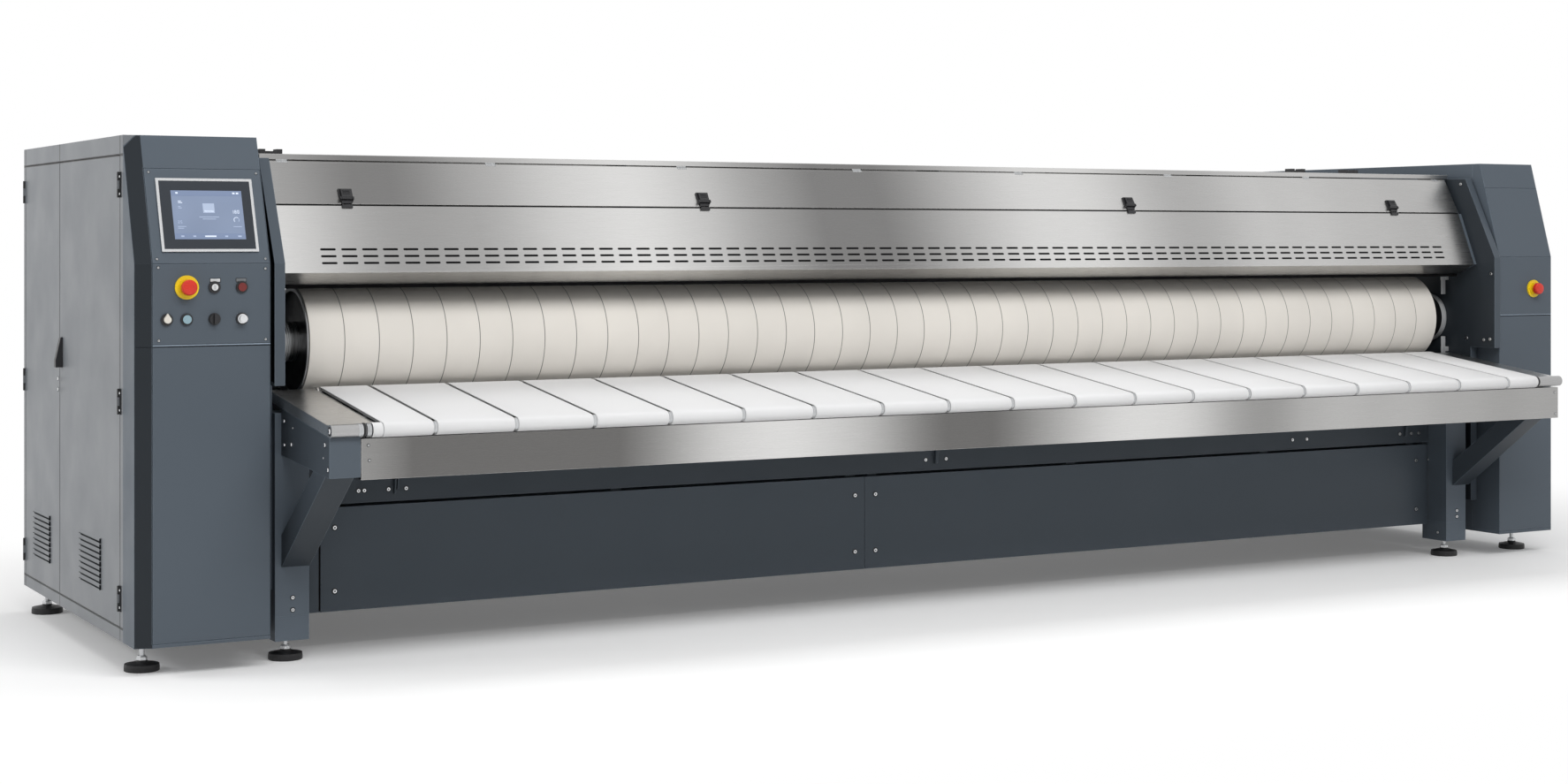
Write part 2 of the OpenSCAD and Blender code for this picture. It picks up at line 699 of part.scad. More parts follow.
module speed_knob() color(bright_steel) turning(red_x, lower_row_z) {
    translate([0, 0, -stem_in]) cylinder(r = actuator_r, h = stem_in + over);
    translate([0, 0, fit]) cylinder(r = bezel_d * 0.4, h = cap_out);
    difference() {
        translate([0, 0, cap_out]) cylinder(r = bezel_d * 0.33, h = grip_out);
        block([-over / 2, bezel_d * 0.1, cap_out + grip_out - over], [over / 2, bezel_d, 2 * grip_out]);
    }
}

// Removable covers: lower cover on the left; upper, stop and lower cover on the right; side covers
module cover_panels() color(paint) {
    from_left() panel(left_w, left_chamfer_w, left_top_out, left_panel_x0, panel_zs[0]);
    difference() {
        from_right() for (z = panel_zs) panel(right_w, right_chamfer_w, right_top_out, right_panel_x0, z);
        device_holes([estop_places[1]]);
    }
    // Side covers of the right cabinet, with folded edges
    from_right() for (y = [[front_y + front_strip, mullion_y], [mullion_y, rear_y - rear_strip]])
        tray(y[0] + door_gap, y[1] - door_gap, sheet);
}

// A flat tray in the door opening, open to the inside
module tray(y0, y1, skin) difference() {
    block([0, y0, door_z0 + door_gap], [door_t, y1, door_z1 - door_gap]);
    block([skin, y0 + sheet, door_z0 + door_gap + sheet],
        [door_t + over, y1 - sheet, door_z1 - door_gap - sheet]);
}

// Doors, with louvres pressed out of their lower ends
louvre_out = 6;
louvre_cut = 8;
louvre_up = 100;
louvre_z = door_z0 + louvre_up;
rear_door_w = rear_y - rear_strip - mullion_y;
front_louvre = [for (s = [0.299, 0.6354]) front_y + front_strip + s * front_door_w];
rear_louvre = [for (s = [0.2633, 0.7298]) mullion_y + s * rear_door_w];

module louvre_cuts(y) for (i = [0 : louvres - 1])
    block([-over, y[0], louvre_z + i * louvre_step],
        [sheet + over, y[1], louvre_z + i * louvre_step + louvre_cut]);

module louvre_hoods(y) for (i = [0 : louvres - 1]) translate([0, 0, louvre_z + i * louvre_step]) {
    along_y(y[0], y[1]) polygon([[0, louvre_cut + 2 * sheet], [-louvre_out, over], [-louvre_out + over, over],
        [sheet / 2, louvre_cut + sheet], [sheet / 2, louvre_cut + 2 * sheet]]);
    for (end = [y[0], y[1] - over]) along_y(end, end + over)
        polygon([[sheet / 2, louvre_cut + 2 * sheet], [0, louvre_cut + 2 * sheet],
            [-louvre_out, over], [sheet / 2, over]]);
}

// Hinges: fixed leaf, pin and end knuckles on the casing, middle knuckle on the door
hinge_axis_out = 5.5;
knuckle_r = 5;
pin_r = 3;
leaf_t = 3;
leaf_w = 17;
hinge_low = 57;
hinge_mid = 34;
hinge_high = 101;
hinge_zs = [door_z0 + hinge_low + hinge_h / 2, (door_z0 + door_z1) / 2 - hinge_mid, door_z1 - hinge_high];
front_hinge_y = front_y + front_strip + door_gap / 2;
rear_hinge_y = rear_y - rear_strip - door_gap / 2;

// Knuckle and leaf of a door: side is 1 for a leaf towards +Y and -1 towards -Y
module door_side_knuckle(z, y, side) difference() {
    union() {
        rod_z(z - hinge_h / 6 + fit, z + hinge_h / 6 - fit, -hinge_axis_out, y, knuckle_r);
        block([-leaf_t, min(y + side * (knuckle_r + over), y + side * leaf_w), z - hinge_h / 2],
            [sheet / 2, max(y + side * (knuckle_r + over), y + side * leaf_w), z + hinge_h / 2]);
        block([-leaf_t, min(y, y + side * leaf_w), z - hinge_h / 6 + fit],
            [-fit, max(y, y + side * leaf_w), z + hinge_h / 6 - fit]);
    }
    rod_z(z - hinge_h, z + hinge_h, -hinge_axis_out, y, pin_r + run);
}

module door_hinges() color(black) from_left()
    for (h = [[front_hinge_y, -1], [rear_hinge_y, 1]]) for (z = hinge_zs) {
        rod_z(z - hinge_h / 2, z + hinge_h / 2, -hinge_axis_out, h[0], pin_r);
        for (zs = [[-hinge_h / 2, -hinge_h / 6], [hinge_h / 6, hinge_h / 2]]) {
            rod_z(z + zs[0], z + zs[1], -hinge_axis_out, h[0], knuckle_r);
            block([-leaf_t - fit, min(h[0], h[0] + h[1] * leaf_w), z + zs[0]],
                [-fit, max(h[0], h[0] + h[1] * leaf_w), z + zs[1]]);
        }
        block([-leaf_t - fit, min(h[0] + h[1] * (knuckle_r + over), h[0] + h[1] * leaf_w), z - hinge_h / 2],
            [-fit, max(h[0] + h[1] * (knuckle_r + over), h[0] + h[1] * leaf_w), z + hinge_h / 2]);
    }

handle_in = 35;
handle_share = 0.5343;
handle_y = mullion_y - handle_in;
handle_z = door_z0 + handle_share * (door_z1 - door_z0);
handle_shaft_r = 6;
handle_h = 110;
handle_w = 26;

module front_door() color(door_paint) from_left() difference() {
    union() {
        tray(front_y + front_strip + door_gap, mullion_y - door_gap, sheet);
        louvre_hoods(front_louvre);
        for (z = hinge_zs) door_side_knuckle(z, front_hinge_y, 1);
        rod_x(sheet - over, door_t, handle_y, handle_z, handle_w / 2);
    }
    louvre_cuts(front_louvre);
    rod_x(-over, door_t + over, handle_y, handle_z, handle_shaft_r + run);
}

module rear_door() color(door_paint) from_left() difference() {
    union() {
        tray(mullion_y + door_gap, rear_y - rear_strip - door_gap, sheet);
        louvre_hoods(rear_louvre);
        for (z = hinge_zs) door_side_knuckle(z, rear_hinge_y, -1);
    }
    louvre_cuts(rear_louvre);
}

// Handle with its shaft and the cam, which hangs beside the post between the doors and turns behind it
cam_t = 4;
cam_len = 46;
cam_gap = 2;
cam_x = mullion_x1 + cam_gap;
module door_handle() color(black) from_left() {
    rod_x(-handle_out / 2, cam_x + cam_t, handle_y, handle_z, handle_shaft_r);
    along_y(handle_y - handle_w / 2, handle_y + handle_w / 2)
        polygon([[-fit - over, handle_z - handle_w / 2], [-fit - over, handle_z + handle_h - handle_w / 2],
            [-handle_out * 0.3, handle_z + handle_h - handle_w / 2],
            [-handle_out, handle_z + handle_w / 2], [-handle_out, handle_z - handle_w / 2]]);
    block([cam_x, handle_y - handle_w / 3, handle_z - cam_len],
        [cam_x + cam_t, handle_y + handle_w / 3, handle_z + handle_w / 3]);
}

// Mounting plate with its stand-offs and rails, and the switchgear on the rails
plate_out = 60;
plate_x1 = left_in - sheet - fit;
plate_x0 = plate_x1 - plate_out;
plate_in = 160;
plate_up = 174;
plate_drop = 200;
plate_y0 = front_y + plate_in;
plate_y1 = rear_y - plate_in;
plate_z0 = door_z0 + plate_up;
plate_z1 = height - plate_drop;
plate_w = plate_y1 - plate_y0;
plate_h = plate_z1 - plate_z0;
rail_h = 35;
rail_t = 8;
rail_zs = [for (s = [0.15625, 0.453125, 0.7578125]) plate_z0 + s * plate_h];

module mounting_plate() color("lightgrey") {
    block([plate_x0, plate_y0, plate_z0], [plate_x0 + sheet, plate_y1, plate_z1]);
    for (y = [plate_y0 + 4 * standoff_r, plate_y1 - 4 * standoff_r])
        for (z = [plate_z0 + 4 * standoff_r, plate_z1 - 4 * standoff_r])
            rod_x(plate_x0 + over, plate_x1, y, z, standoff_r);
    for (z = rail_zs) block([plate_x0 - rail_t, plate_y0 + 2 * rail_h, z - rail_h / 2],
        [plate_x0 + over, plate_y1 - 2 * rail_h, z + rail_h / 2]);
}

// Rows of like devices on the rails: rail, devices, then start and width as shares of the plate's width,
// height as a share of the plate's height, and depth as a share of the cabinet's width
device_rows = [[2, 9, 0.082, 0.133, 0.07, 0.155], [2, 6, 0.28, 0.267, 0.086, 0.221],
    [2, 2, 0.626, 0.198, 0.125, 0.243], [1, 3, 0.082, 0.37, 0.234, 0.331], [1, 4, 0.527, 0.296, 0.102, 0.265],
    [0, 40, 0.082, 0.395, 0.047, 0.11], [0, 1, 0.576, 0.214, 0.219, 0.287]];

// A row of devices, side by side, each with a stepped front
module device_row(y0, z, count, w, h, d) {
    block([plate_x0 - rail_t - fit - d / 2, y0, z - h / 2],
        [plate_x0 - rail_t - fit, y0 + count * w, z + h / 2]);
    for (i = [0 : count - 1]) block([plate_x0 - rail_t - fit - d, y0 + i * w + over, z - h / 2 + h / 5],
        [plate_x0 - rail_t - d / 2, y0 + (i + 1) * w - over, z + h / 2 - h / 5]);
}

module switchgear() color("dimgrey") for (r = device_rows)
    device_row(plate_y0 + r[2] * plate_w, rail_zs[r[0]], r[1], r[3] * plate_w / r[1], r[4] * plate_h,
        r[5] * left_w);

// Roll: padded steel tube, black end discs, and journals with stepped hubs
shell_r = roll_r - padding_t;
bore_r = shell_r - shell_t;
disc_in = 14;
disc_t = 14;
hub_out = 62;
collar_out = 92;
groove_d = 3;
groove_x = 45;
collar_r = 60;
journal_end = 2;
drive_journal = 150;

// A journal, drawn from the roll's end at X = 0 outwards
module journal(out) rotate([0, 90, 0]) rotate_extrude() polygon([
    [0, -disc_in - disc_t], [hub_r, -disc_in - disc_t],
    [hub_r, groove_x - 2 * groove_d], [hub_r - groove_d, groove_x - groove_d], [hub_r - groove_d, groove_x],
    [hub_r, groove_x + groove_d], [hub_r, hub_out], [collar_r, hub_out], [collar_r, collar_out],
    [journal_r, collar_out + groove_d],
    [journal_r, out], [0, out]]);

module roll_core() color(bright_steel) {
    difference() {
        rod_x(roll_x0, roll_x1, axis_y, axis_z, shell_r);
        rod_x(roll_x0 - over, roll_x1 + over, axis_y, axis_z, bore_r);
    }
    translate([roll_x0, axis_y, axis_z]) mirror([1, 0, 0]) journal(roll_x0 - cheek_lo - journal_end);
    translate([roll_x1, axis_y, axis_z]) journal(right_in + drive_journal - roll_x1);
}

module roll_end_discs() color(black)
    for (x = [roll_x0 + disc_in, roll_x1 - disc_in - disc_t]) difference() {
        rod_x(x, x + disc_t, axis_y, axis_z, bore_r - run);
        rod_x(x - over, x + disc_t + over, axis_y, axis_z, hub_r + run);
    }

padding_in = 4;
seam_w = 2;
band_w = (roll_len - 2 * padding_in) / bands;
module roll_padding() color("antiquewhite") translate([roll_x0 + padding_in, axis_y, axis_z])
    rotate([0, 90, 0]) rotate_extrude() polygon(concat(
        [[shell_r + run, 0], [roll_r, 0]],
        [for (i = [1 : bands - 1]) for (k = [-1 : 1])
            [roll_r - (k == 0 ? seam_w : 0), i * band_w + k * seam_w / 2]],
        [[roll_r, bands * band_w], [shell_r + run, bands * band_w]]));

bearing_flange_t = 28;
module roll_bearings() color(black)
    for (x = [[cheek_lo, cheek_li, cheek_li + bearing_flange_t],
            [cheek_ri - bearing_flange_t, cheek_ri, cheek_ro]])
        difference() {
            union() {
                rod_x(x[0], x[2], axis_y, axis_z, bearing_spigot_r);
                if (x[0] == cheek_lo) rod_x(x[1] + fit, x[2], axis_y, axis_z, bearing_flange_r);
                if (x[0] != cheek_lo) rod_x(x[0], x[1] - fit, axis_y, axis_z, bearing_flange_r);
            }
            rod_x(x[0] - over, x[2] + over, axis_y, axis_z, journal_r + run);
        }

// Gearmotors in the right cabinet: one on the roll's journal, one on the drive roller's shaft
gear_in = 34;
gear_x0 = right_in + gear_in;
gear_w = 110;
gear_below = 290;
gear_half = 105;
motor_r = 82;
motor_len = 330;
feed_gear_w = 80;
feed_gear_half = 42;
feed_motor_r = 40;
feed_motor_len = 230;
torque_bar = 40;

module gearmotors() color("slategrey") {
    difference() {
        union() {
            block([gear_x0, axis_y - gear_half, axis_z - gear_below],
                [gear_x0 + gear_w, axis_y + gear_half, axis_z]);
            rod_x(gear_x0, gear_x0 + gear_w, axis_y, axis_z, gear_half);
            rod_y(axis_y + gear_half - over, axis_y + gear_half + motor_len, gear_x0 + gear_w / 2,
                axis_z - gear_below + motor_r, motor_r);
            rod_y(axis_y + gear_half + motor_len - over, axis_y + gear_half + motor_len * 1.2,
                gear_x0 + gear_w / 2,
                axis_z - gear_below + motor_r, motor_r * 0.94);
            // Torque bar to the cheek plate
            block([cheek_ro + fit, axis_y + gear_half - torque_bar, axis_z - gear_below + torque_bar],
                [gear_x0 + over, axis_y + gear_half, axis_z - gear_below + 2 * torque_bar]);
        }
        rod_x(gear_x0 - over, gear_x0 + gear_w + over, axis_y, axis_z, journal_r + fit);
    }
    difference() {
        union() {
            block([gear_x0, drive_y - feed_gear_half, drive_z - 2 * feed_gear_half],
                [gear_x0 + feed_gear_w, drive_y + feed_gear_half, drive_z + feed_gear_half]);
            rod_z(drive_z - 2 * feed_gear_half - feed_motor_len, drive_z - 2 * feed_gear_half + over,
                gear_x0 + feed_gear_w / 2, drive_y, feed_motor_r);
            block([cheek_ro + fit, drive_y - feed_gear_half, drive_z - 2 * feed_gear_half],
                [gear_x0 + over, drive_y - feed_gear_half / 2, drive_z - feed_gear_half]);
        }
        rod_x(gear_x0 - over, gear_x0 + feed_gear_w + over, drive_y, drive_z, drive_shaft_r + fit);
    }
}

// Chest: a polished trough under the roll, at rest dropped away from it
chest_c = [axis_y, axis_z - chest_drop];
chest_r0 = roll_r + press_gap;
chest_r1 = chest_r0 + chest_t;
jacket_r0 = chest_r1 + 2 * rod_r + 3 * fit;
jacket_r1 = jacket_r0 + jacket_t;
chest_side = 12;
jacket_trim_angle = 3;
jacket_a0 = -chest_front_angle + jacket_trim_angle;
jacket_a1 = chest_rear_angle - jacket_trim_angle * 3;
// A direction at an angle from straight down, positive to the rear
function down(a) = [sin(a), -cos(a)];

module sector(a0, a1, r0, r1) translate(chest_c) intersection() {
    difference() {
        circle(r = r1);
        circle(r = r0);
    }
    polygon(concat([[0, 0]], [for (i = [0 : 4]) 2 * r1 * down(a0 + (a1 - a0) * i / 4)]));
}

module chest() color(stainless) along_x(roll_x0 - chest_side, roll_x1 + chest_side)
    sector(-chest_front_angle, chest_rear_angle, chest_r0, chest_r1);

rod_front_angle = -22;
rod_rear_angle = 66;
module heating_rods() color("peru") for (i = [0 : rods - 1])
    let (a = rod_front_angle + (rod_rear_angle - rod_front_angle) * i / (rods - 1),
        p = chest_c + (chest_r1 + rod_r + fit) * down(a))
    rod_x(roll_x0 + chest_side, roll_x1 - chest_side, p[0], p[1], rod_r);

module chest_jacket() color("gainsboro") {
    along_x(roll_x0 - chest_side, roll_x1 + chest_side)
        sector(jacket_a0, jacket_a1, jacket_r0, jacket_r1);
    for (x = [roll_x0 - chest_side, roll_x1]) along_x(x, x + chest_side)
        sector(jacket_a0, jacket_a1, chest_r1 + fit, jacket_r0 + over);
}

// Yokes under the jacket, each with a piston rod in a fixed lift cylinder
yoke_t = 14;
yoke_half = 150;
yoke_depth = 62;
lift_xs = [for (i = [0 : lifts - 1]) roll_x0 + roll_len * (i + 0.5) / lifts];
yoke_z = chest_c[1] - jacket_r1 - yoke_depth / 2;
cylinder_r = 40;
cylinder_z0 = side_beam_z + beam_h + fit;
cylinder_z1 = yoke_z - over - chest_t / 2;
piston_foot = 24;

module chest_yokes() color(dark_paint) for (x = lift_xs) {
    difference() {
        block([x - yoke_t / 2, axis_y - yoke_half, yoke_z],
            [x + yoke_t / 2, axis_y + yoke_half, yoke_z + 2 * yoke_depth]);
        rod_x(x - yoke_t, x + yoke_t, chest_c[0], chest_c[1], jacket_r1 + fit);
    }
    rod_z(cylinder_z0 + piston_foot, yoke_z + over, x, axis_y, piston_r);
    rod_z(yoke_z - yoke_t / 2 + over, yoke_z + over, x, axis_y, 2 * piston_r);
}

module lift_cylinders() color(bright_steel) for (x = lift_xs) difference() {
    rod_z(cylinder_z0, cylinder_z1, x, axis_y, cylinder_r);
    rod_z(cylinder_z0 + piston_foot / 2, cylinder_z1 + over, x, axis_y, piston_r + run);
}

// Feed table, in a frame of its own: from the front roller's axis, Y up the slope
nose_y = front_y - table_reach + roller_r + fit + belt_t;
table_angle = atan(table_rise / (drive_y - nose_y));
belt_run = norm([drive_y - nose_y, table_rise]);
module on_table() translate([0, nose_y, nose_z]) rotate([table_angle, 0, 0]) children();

belt_r0 = roller_r + fit;
belt_r1 = belt_r0 + belt_t;
belt_x0 = cheek_li + belt_margin;
first_full_x = belt_x0 + edge_belt_w + belt_gap;
end_belt_x = cheek_ri - belt_end_margin - edge_belt_w;
belts = round((end_belt_x - first_full_x) / belt_pitch);
belt_step = (end_belt_x - first_full_x) / belts;
belt_w = belt_step - belt_gap;

module loop(x0, x1, r) {
    for (y = [0, belt_run]) rod_x(x0, x1, y, 0, r);
    block([x0, 0, -r], [x1, belt_run, r]);
}

module belt(x0, w) difference() {
    loop(x0, x0 + w, belt_r1);
    loop(x0 - over, x0 + w + over, belt_r0);
}

module feed_belts() color("whitesmoke") on_table() {
    belt(belt_x0, edge_belt_w);
    for (i = [0 : belts - 1]) belt(first_full_x + i * belt_step, belt_w);
    belt(end_belt_x, edge_belt_w);
}

nose_tube_len = 118;
rail_in = 22;
rail_gap = 9;
rail_x0 = cheek_li + rail_in;
rail_x1 = belt_x0 - rail_gap;
rail_x2 = end_belt_x + edge_belt_w + rail_gap;
rail_x3 = cheek_ri - rail_in - over;
roller_end = 8;
roller_out = 38;
roller_x0 = belt_x0 - roller_out;
roller_x1 = rail_x2 - 2 * over;
roller_shaft_r = 8;
tray_drop = 10;
tray_t = 3;
tray_side = 36;
tray_front = roller_r + 2 * over;
tray_rear = belt_run + roller_r;
tray_z = belt_r1 - tray_drop;

module roller(x0, x1, y) rod_x(x0, x1, y, 0, roller_r);

module front_roller() color(bright_steel) on_table() {
    roller(roller_x0 + roller_end * 2, roller_x1, 0);
    rod_x(roller_x0, roller_x0 + roller_end * 2 + over, 0, 0, roller_r * 0.86);
    rod_x(rail_x0 + nose_tube_len - 3 * roller_r, rail_x3 - roller_r, 0, 0, roller_shaft_r);
}

module drive_roller() color(bright_steel) on_table() {
    roller(belt_x0 - over, roller_x1 - 2 * over, belt_run);
    rod_x(rail_x1 - 2 * tray_t - roller_end, gear_x0 + feed_gear_w, belt_run, 0, drive_shaft_r);
}

// A side tray: top plate, outer flange, inner flange with the drive roller's bearing
module side_tray(x0, x1, outer_x, inner_x) difference() {
    union() {
        block([x0, tray_front, tray_z - tray_t], [x1, tray_rear, tray_z]);
        block([outer_x, 0, tray_z - tray_side], [outer_x + tray_t, tray_rear, tray_z]);
        block([inner_x, tray_front + 2 * roller_r, -tray_side],
            [inner_x + tray_t, tray_rear + roller_r, tray_z]);
        rod_x(inner_x - tray_t, inner_x + tray_t, belt_run, 0, drive_shaft_r * 2);
    }
    rod_x(x0 - over, x1 + over, belt_run, 0, drive_shaft_r + run);
    block([x0 - over, -over, -tray_side - over], [outer_x + tray_t + over, over, -roller_r]);
}

module nose_tube(x0, x1) difference() {
    rod_x(x0, x1, 0, 0, roller_r);
    rod_x(x0 + tray_t, x1 + over, 0, 0, roller_shaft_r + run);
}

module table_rails() color(stainless) on_table() {
    side_tray(rail_x0, rail_x1, rail_x0, rail_x1 - tray_t);
    nose_tube(rail_x0, rail_x0 + nose_tube_len);
    side_tray(rail_x2, rail_x3, rail_x3 - tray_t, rail_x2 + tray_t);
    translate([rail_x3, 0, 0]) mirror([1, 0, 0]) nose_tube(0, rail_x3 - roller_x1 - roller_end / 2);
}

// Bed plate under the belts' upper run, on two tubes that lie between the runs
bed_t = 2;
bed_tube = 30;
bed_drop = 1;
module feed_bed() color(stainless) on_table() {
    z = belt_r0 - bed_drop;
    block([rail_x1 + fit, roller_r * 1.5, z - bed_t], [rail_x2 - fit, belt_run - roller_r * 1.5, z]);
    for (y = [0.2, 0.7]) block([rail_x1 + fit, belt_run * y, z - bed_t - bed_tube],
        [rail_x2 - fit, belt_run * y + bed_tube, z - bed_t + over / 2]);
}

// Front bar: a stainless channel, open to the rear, with closed ends
bar_in = 3;
bar_y = nose_y + bar_in;
bar_d = 60;
bar_x0 = rail_x0 + arm_w + bar_in;
bar_x1 = rail_x3;
bar_lip = 20;
module front_bar() color(stainless) {
    difference() {
        block([bar_x0, bar_y, bar_z], [bar_x1, bar_y + bar_d, bar_z + bar_h]);
        block([bar_x0 - over, bar_y + sheet, bar_z + sheet],
            [bar_x1 - sheet, bar_y + bar_d - sheet, bar_z + bar_h - sheet]);
        block([bar_x0 - over, bar_y + sheet, bar_z + bar_lip],
            [bar_x1 - sheet, bar_y + bar_d + over, bar_z + bar_h - bar_lip]);
    }
}

// Arms and braces from the front legs to the table
arm_x0 = rail_x0;
right_arm_x1 = rail_x3 - rail_in;
arm_top_drop = tray_side - tray_z + 2 * fit;
function arm_top(y) = nose_z - arm_top_drop + (y - nose_y) * tan(table_angle);
arm_rise = 9;
arm_rear_rise = 47;
arm_rear_y = front_leg_y - fit;
// An arm from y0 to its leg, with its front corner under the nose tube
function arm_outline(y0) = [[y0, bar_z + arm_rise], [arm_rear_y, bar_z + arm_rear_rise],
    [arm_rear_y, arm_top(arm_rear_y)], [y0 + roller_r / 2, arm_top(y0 + roller_r / 2)],
    [y0, nose_z - roller_r - 2 * fit]];
brace_in = 39;
brace_top_in = 157;
brace_rise = 14;
brace_top_rise = 26;
brace_low_share = 0.4917;
brace_high_share = 0.6602;
brace_slope = (brace_low_share * bar_z - bar_z - brace_rise) / (arm_rear_y - bar_y - brace_in);
// A brace whose tip starts at y0 or behind it
function brace_outline(y0) = [[y0, bar_z + brace_rise + (y0 - bar_y - brace_in) * brace_slope],
    [arm_rear_y, brace_low_share * bar_z], [arm_rear_y, brace_high_share * bar_z],
    [bar_y + brace_top_in, bar_z + brace_top_rise], [y0, bar_z + brace_rise + over]];
stub_len = 60;

module table_arms() color(dark_paint) {
    along_x(arm_x0, arm_x0 + arm_w) polygon(arm_outline(bar_y));
    // Stub inside the bar's open end
    block([arm_x0 + arm_w - over, bar_y + sheet + fit, bar_z + bar_lip + over],
        [bar_x0 + stub_len, bar_y + bar_d - sheet - fit, bar_z + bar_h - bar_lip - over]);
    along_x(right_arm_x1 - arm_w, right_arm_x1) polygon(arm_outline(bar_y + bar_d + fit));
    for (arm = [[arm_x0, bar_y + brace_in], [right_arm_x1 - arm_w, bar_y + bar_d + fit]])
        along_x(arm[0] + fit, arm[0] + arm_w - 4 * over) polygon(brace_outline(arm[1]));
}

// Canopy: outline points from the lip's rear edge up to the hood's rear edge
canopy_z = height - canopy_drop;
lid_top_in = 112;
lid_top = [front_y + lid_top_in, canopy_z - band_h];
lid_seam = lid_top - [lid_back, lid_h];
crease = lid_seam - [front_back, front_h];
lip_end = crease + [lip_back, -lip_h];
canopy_x0 = cheek_li + canopy_gap;
canopy_x1 = cheek_ri - canopy_gap;
lid_seam_gap = 3;
front_angle = atan(front_back / front_h);
front_len = norm([front_back, front_h]);
slot_row_up = 36;
slot_row_step = 25.7;
slots = floor((canopy_x1 - canopy_x0 - 2 * slot_side) / slot_step);
slots_left = 11;

// The slotted panel's own frame: origin at the crease, Z up the panel, Y inwards
module on_front() translate([0, crease[0], crease[1]]) rotate([-front_angle, 0, 0]) children();

module slot() {
    block([slot_h / 2, -over, -slot_h / 2], [slot_len - slot_h / 2, 2 * steel_t, slot_h / 2]);
    for (x = [slot_h / 2, slot_len - slot_h / 2]) rod_y(-over, 2 * steel_t, x, 0, slot_h / 2, $fn = 16);
}
slots_x0 = mid_x - (slots - 1) * slot_step / 2 - slot_len / 2 - slots_left;

module canopy_front() color(stainless) difference() {
    along_x(canopy_x0, canopy_x1) polygon(reversed(bent_sheet([lid_seam, crease, lip_end], steel_t)));
    on_front() for (row = [0 : slot_rows - 1]) for (i = [0 : slots - 1])
        translate([slots_x0 + i * slot_step, 0, slot_row_up + row * slot_row_step]) slot();
}

// Lid: a flat panel with folded edges and a rolled top edge round the hinge rod
lid_angle = atan(lid_back / lid_h);
lid_len = norm([lid_back, lid_h]);
lid_roll_r = 6;
lid_bead = 0.8;
lid_pin_r = 3;
lid_flange = 14;
lid_axis_up = lid_len - lid_roll_r - 1.5 * over;
lid_axis_in = lid_roll_r - lid_bead;
hinge_c = lid_seam + [lid_axis_in * cos(lid_angle) + lid_axis_up * sin(lid_angle),
    lid_axis_up * cos(lid_angle) - lid_axis_in * sin(lid_angle)];
knuckles = 8;
knuckle_len = 40;
knuckle_xs = [for (i = [0 : knuckles - 1])
    canopy_x0 + knuckle_len + (canopy_x1 - canopy_x0 - 3 * knuckle_len) * i / (knuckles - 1)];
module on_lid() translate([0, lid_seam[0], lid_seam[1]]) rotate([-lid_angle, 0, 0]) children();

module canopy_lid() color(stainless) difference() {
    union() {
        on_lid() difference() {
            block([canopy_x0, 0, lid_seam_gap], [canopy_x1, lid_flange, lid_axis_up]);
            block([canopy_x0 + steel_t, steel_t, lid_seam_gap + steel_t],
                [canopy_x1 - steel_t, lid_flange + over, lid_len + over]);
        }
        rod_x(canopy_x0 + over, canopy_x1 - over, hinge_c[0], hinge_c[1], lid_roll_r);
    }
    rod_x(canopy_x0 - over, canopy_x1 + over, hinge_c[0], hinge_c[1], lid_pin_r + run);
    for (x = knuckle_xs) rod_x(x - fit, x + knuckle_len + fit, hinge_c[0], hinge_c[1], lid_roll_r + 2 * fit);
}

module lid_hinge() color(bright_steel) {
    rod_x(canopy_x0, canopy_x1, hinge_c[0], hinge_c[1], lid_pin_r);
    for (x = knuckle_xs) {
        rod_x(x + fit, x + knuckle_len - fit, hinge_c[0], hinge_c[1], lid_roll_r - fit);
        block([x + fit, lid_top[0] + steel_t + fit, hinge_c[1]],
            [x + knuckle_len - fit, lid_top[0] + 2 * steel_t + fit, canopy_z - 2 * steel_t]);
    }
}

// Hood: top band, top sheet and rear slope, over the roll and the delivery slide
hood_rear_in = 15;
hood_slope = 190;
hood_low_up = 163;
hood_rear = front_y + cheek_rear - hood_rear_in;
hood_rear_z = canopy_z - hood_slope;
hood_low_z = axis_z + hood_low_up;
hood_path = [[lid_top[0], lid_top[1] + over], [lid_top[0], canopy_z], [front_y + hood_bend, canopy_z],
    [hood_rear, hood_rear_z], [hood_rear, hood_low_z]];
spigot_x = mid_x + clear_w / 4;
spigot_z = (hood_rear_z + hood_low_z) / 2;
module canopy_top() color(stainless) difference() {
    along_x(cheek_li + fit, cheek_ri - fit) polygon(reversed(bent_sheet(hood_path, -steel_t)));
    rod_y(hood_rear - 5 * steel_t, hood_rear + over, spigot_x, spigot_z, spigot_r - 3 * steel_t);
}

// Ribs that the canopy's sheets are fixed to, the outer two against the cheek plates
rib_t = 4;
rib_w = 56;
rib_xs = [for (s = [0.25, 0.5, 0.75]) cheek_li + clear_w * s];
rib_top = canopy_z - steel_t - fit;
function rib_outline(back) = let (
    low = moved_path([lip_end, crease, lid_seam], -steel_t - fit),
    high = moved_path([lid_seam, lid_top], -lid_flange - 4 * fit))
    concat([low[1] + 0.6 * (low[0] - low[1]), low[1]],
        [low[2] - rib_t * unit(lid_seam - crease), high[0], high[1] + [4 * fit, -lid_roll_r],
            [lid_top[0] + steel_t + 2 * fit, lid_top[1] + over], [lid_top[0] + steel_t + 2 * fit, rib_top]],
        [[lid_top[0] + back, rib_top], [lid_top[0] + back, rib_top - rib_w],
            [lid_top[0] + rib_w * 0.8, rib_top - rib_w], lid_seam + [rib_w * 1.3, 0], crease + [rib_w * 1.9, rib_w * 0.9]]);

module canopy_ribs() color(dark_paint) {
    for (x = rib_xs) along_x(x, x + rib_t) polygon(rib_outline(rib_w * 3));
    for (x = [cheek_li + fit, canopy_x1 + fit])
        along_x(x, x + canopy_gap - 2 * fit) polygon(rib_outline(rib_w * 3));
}

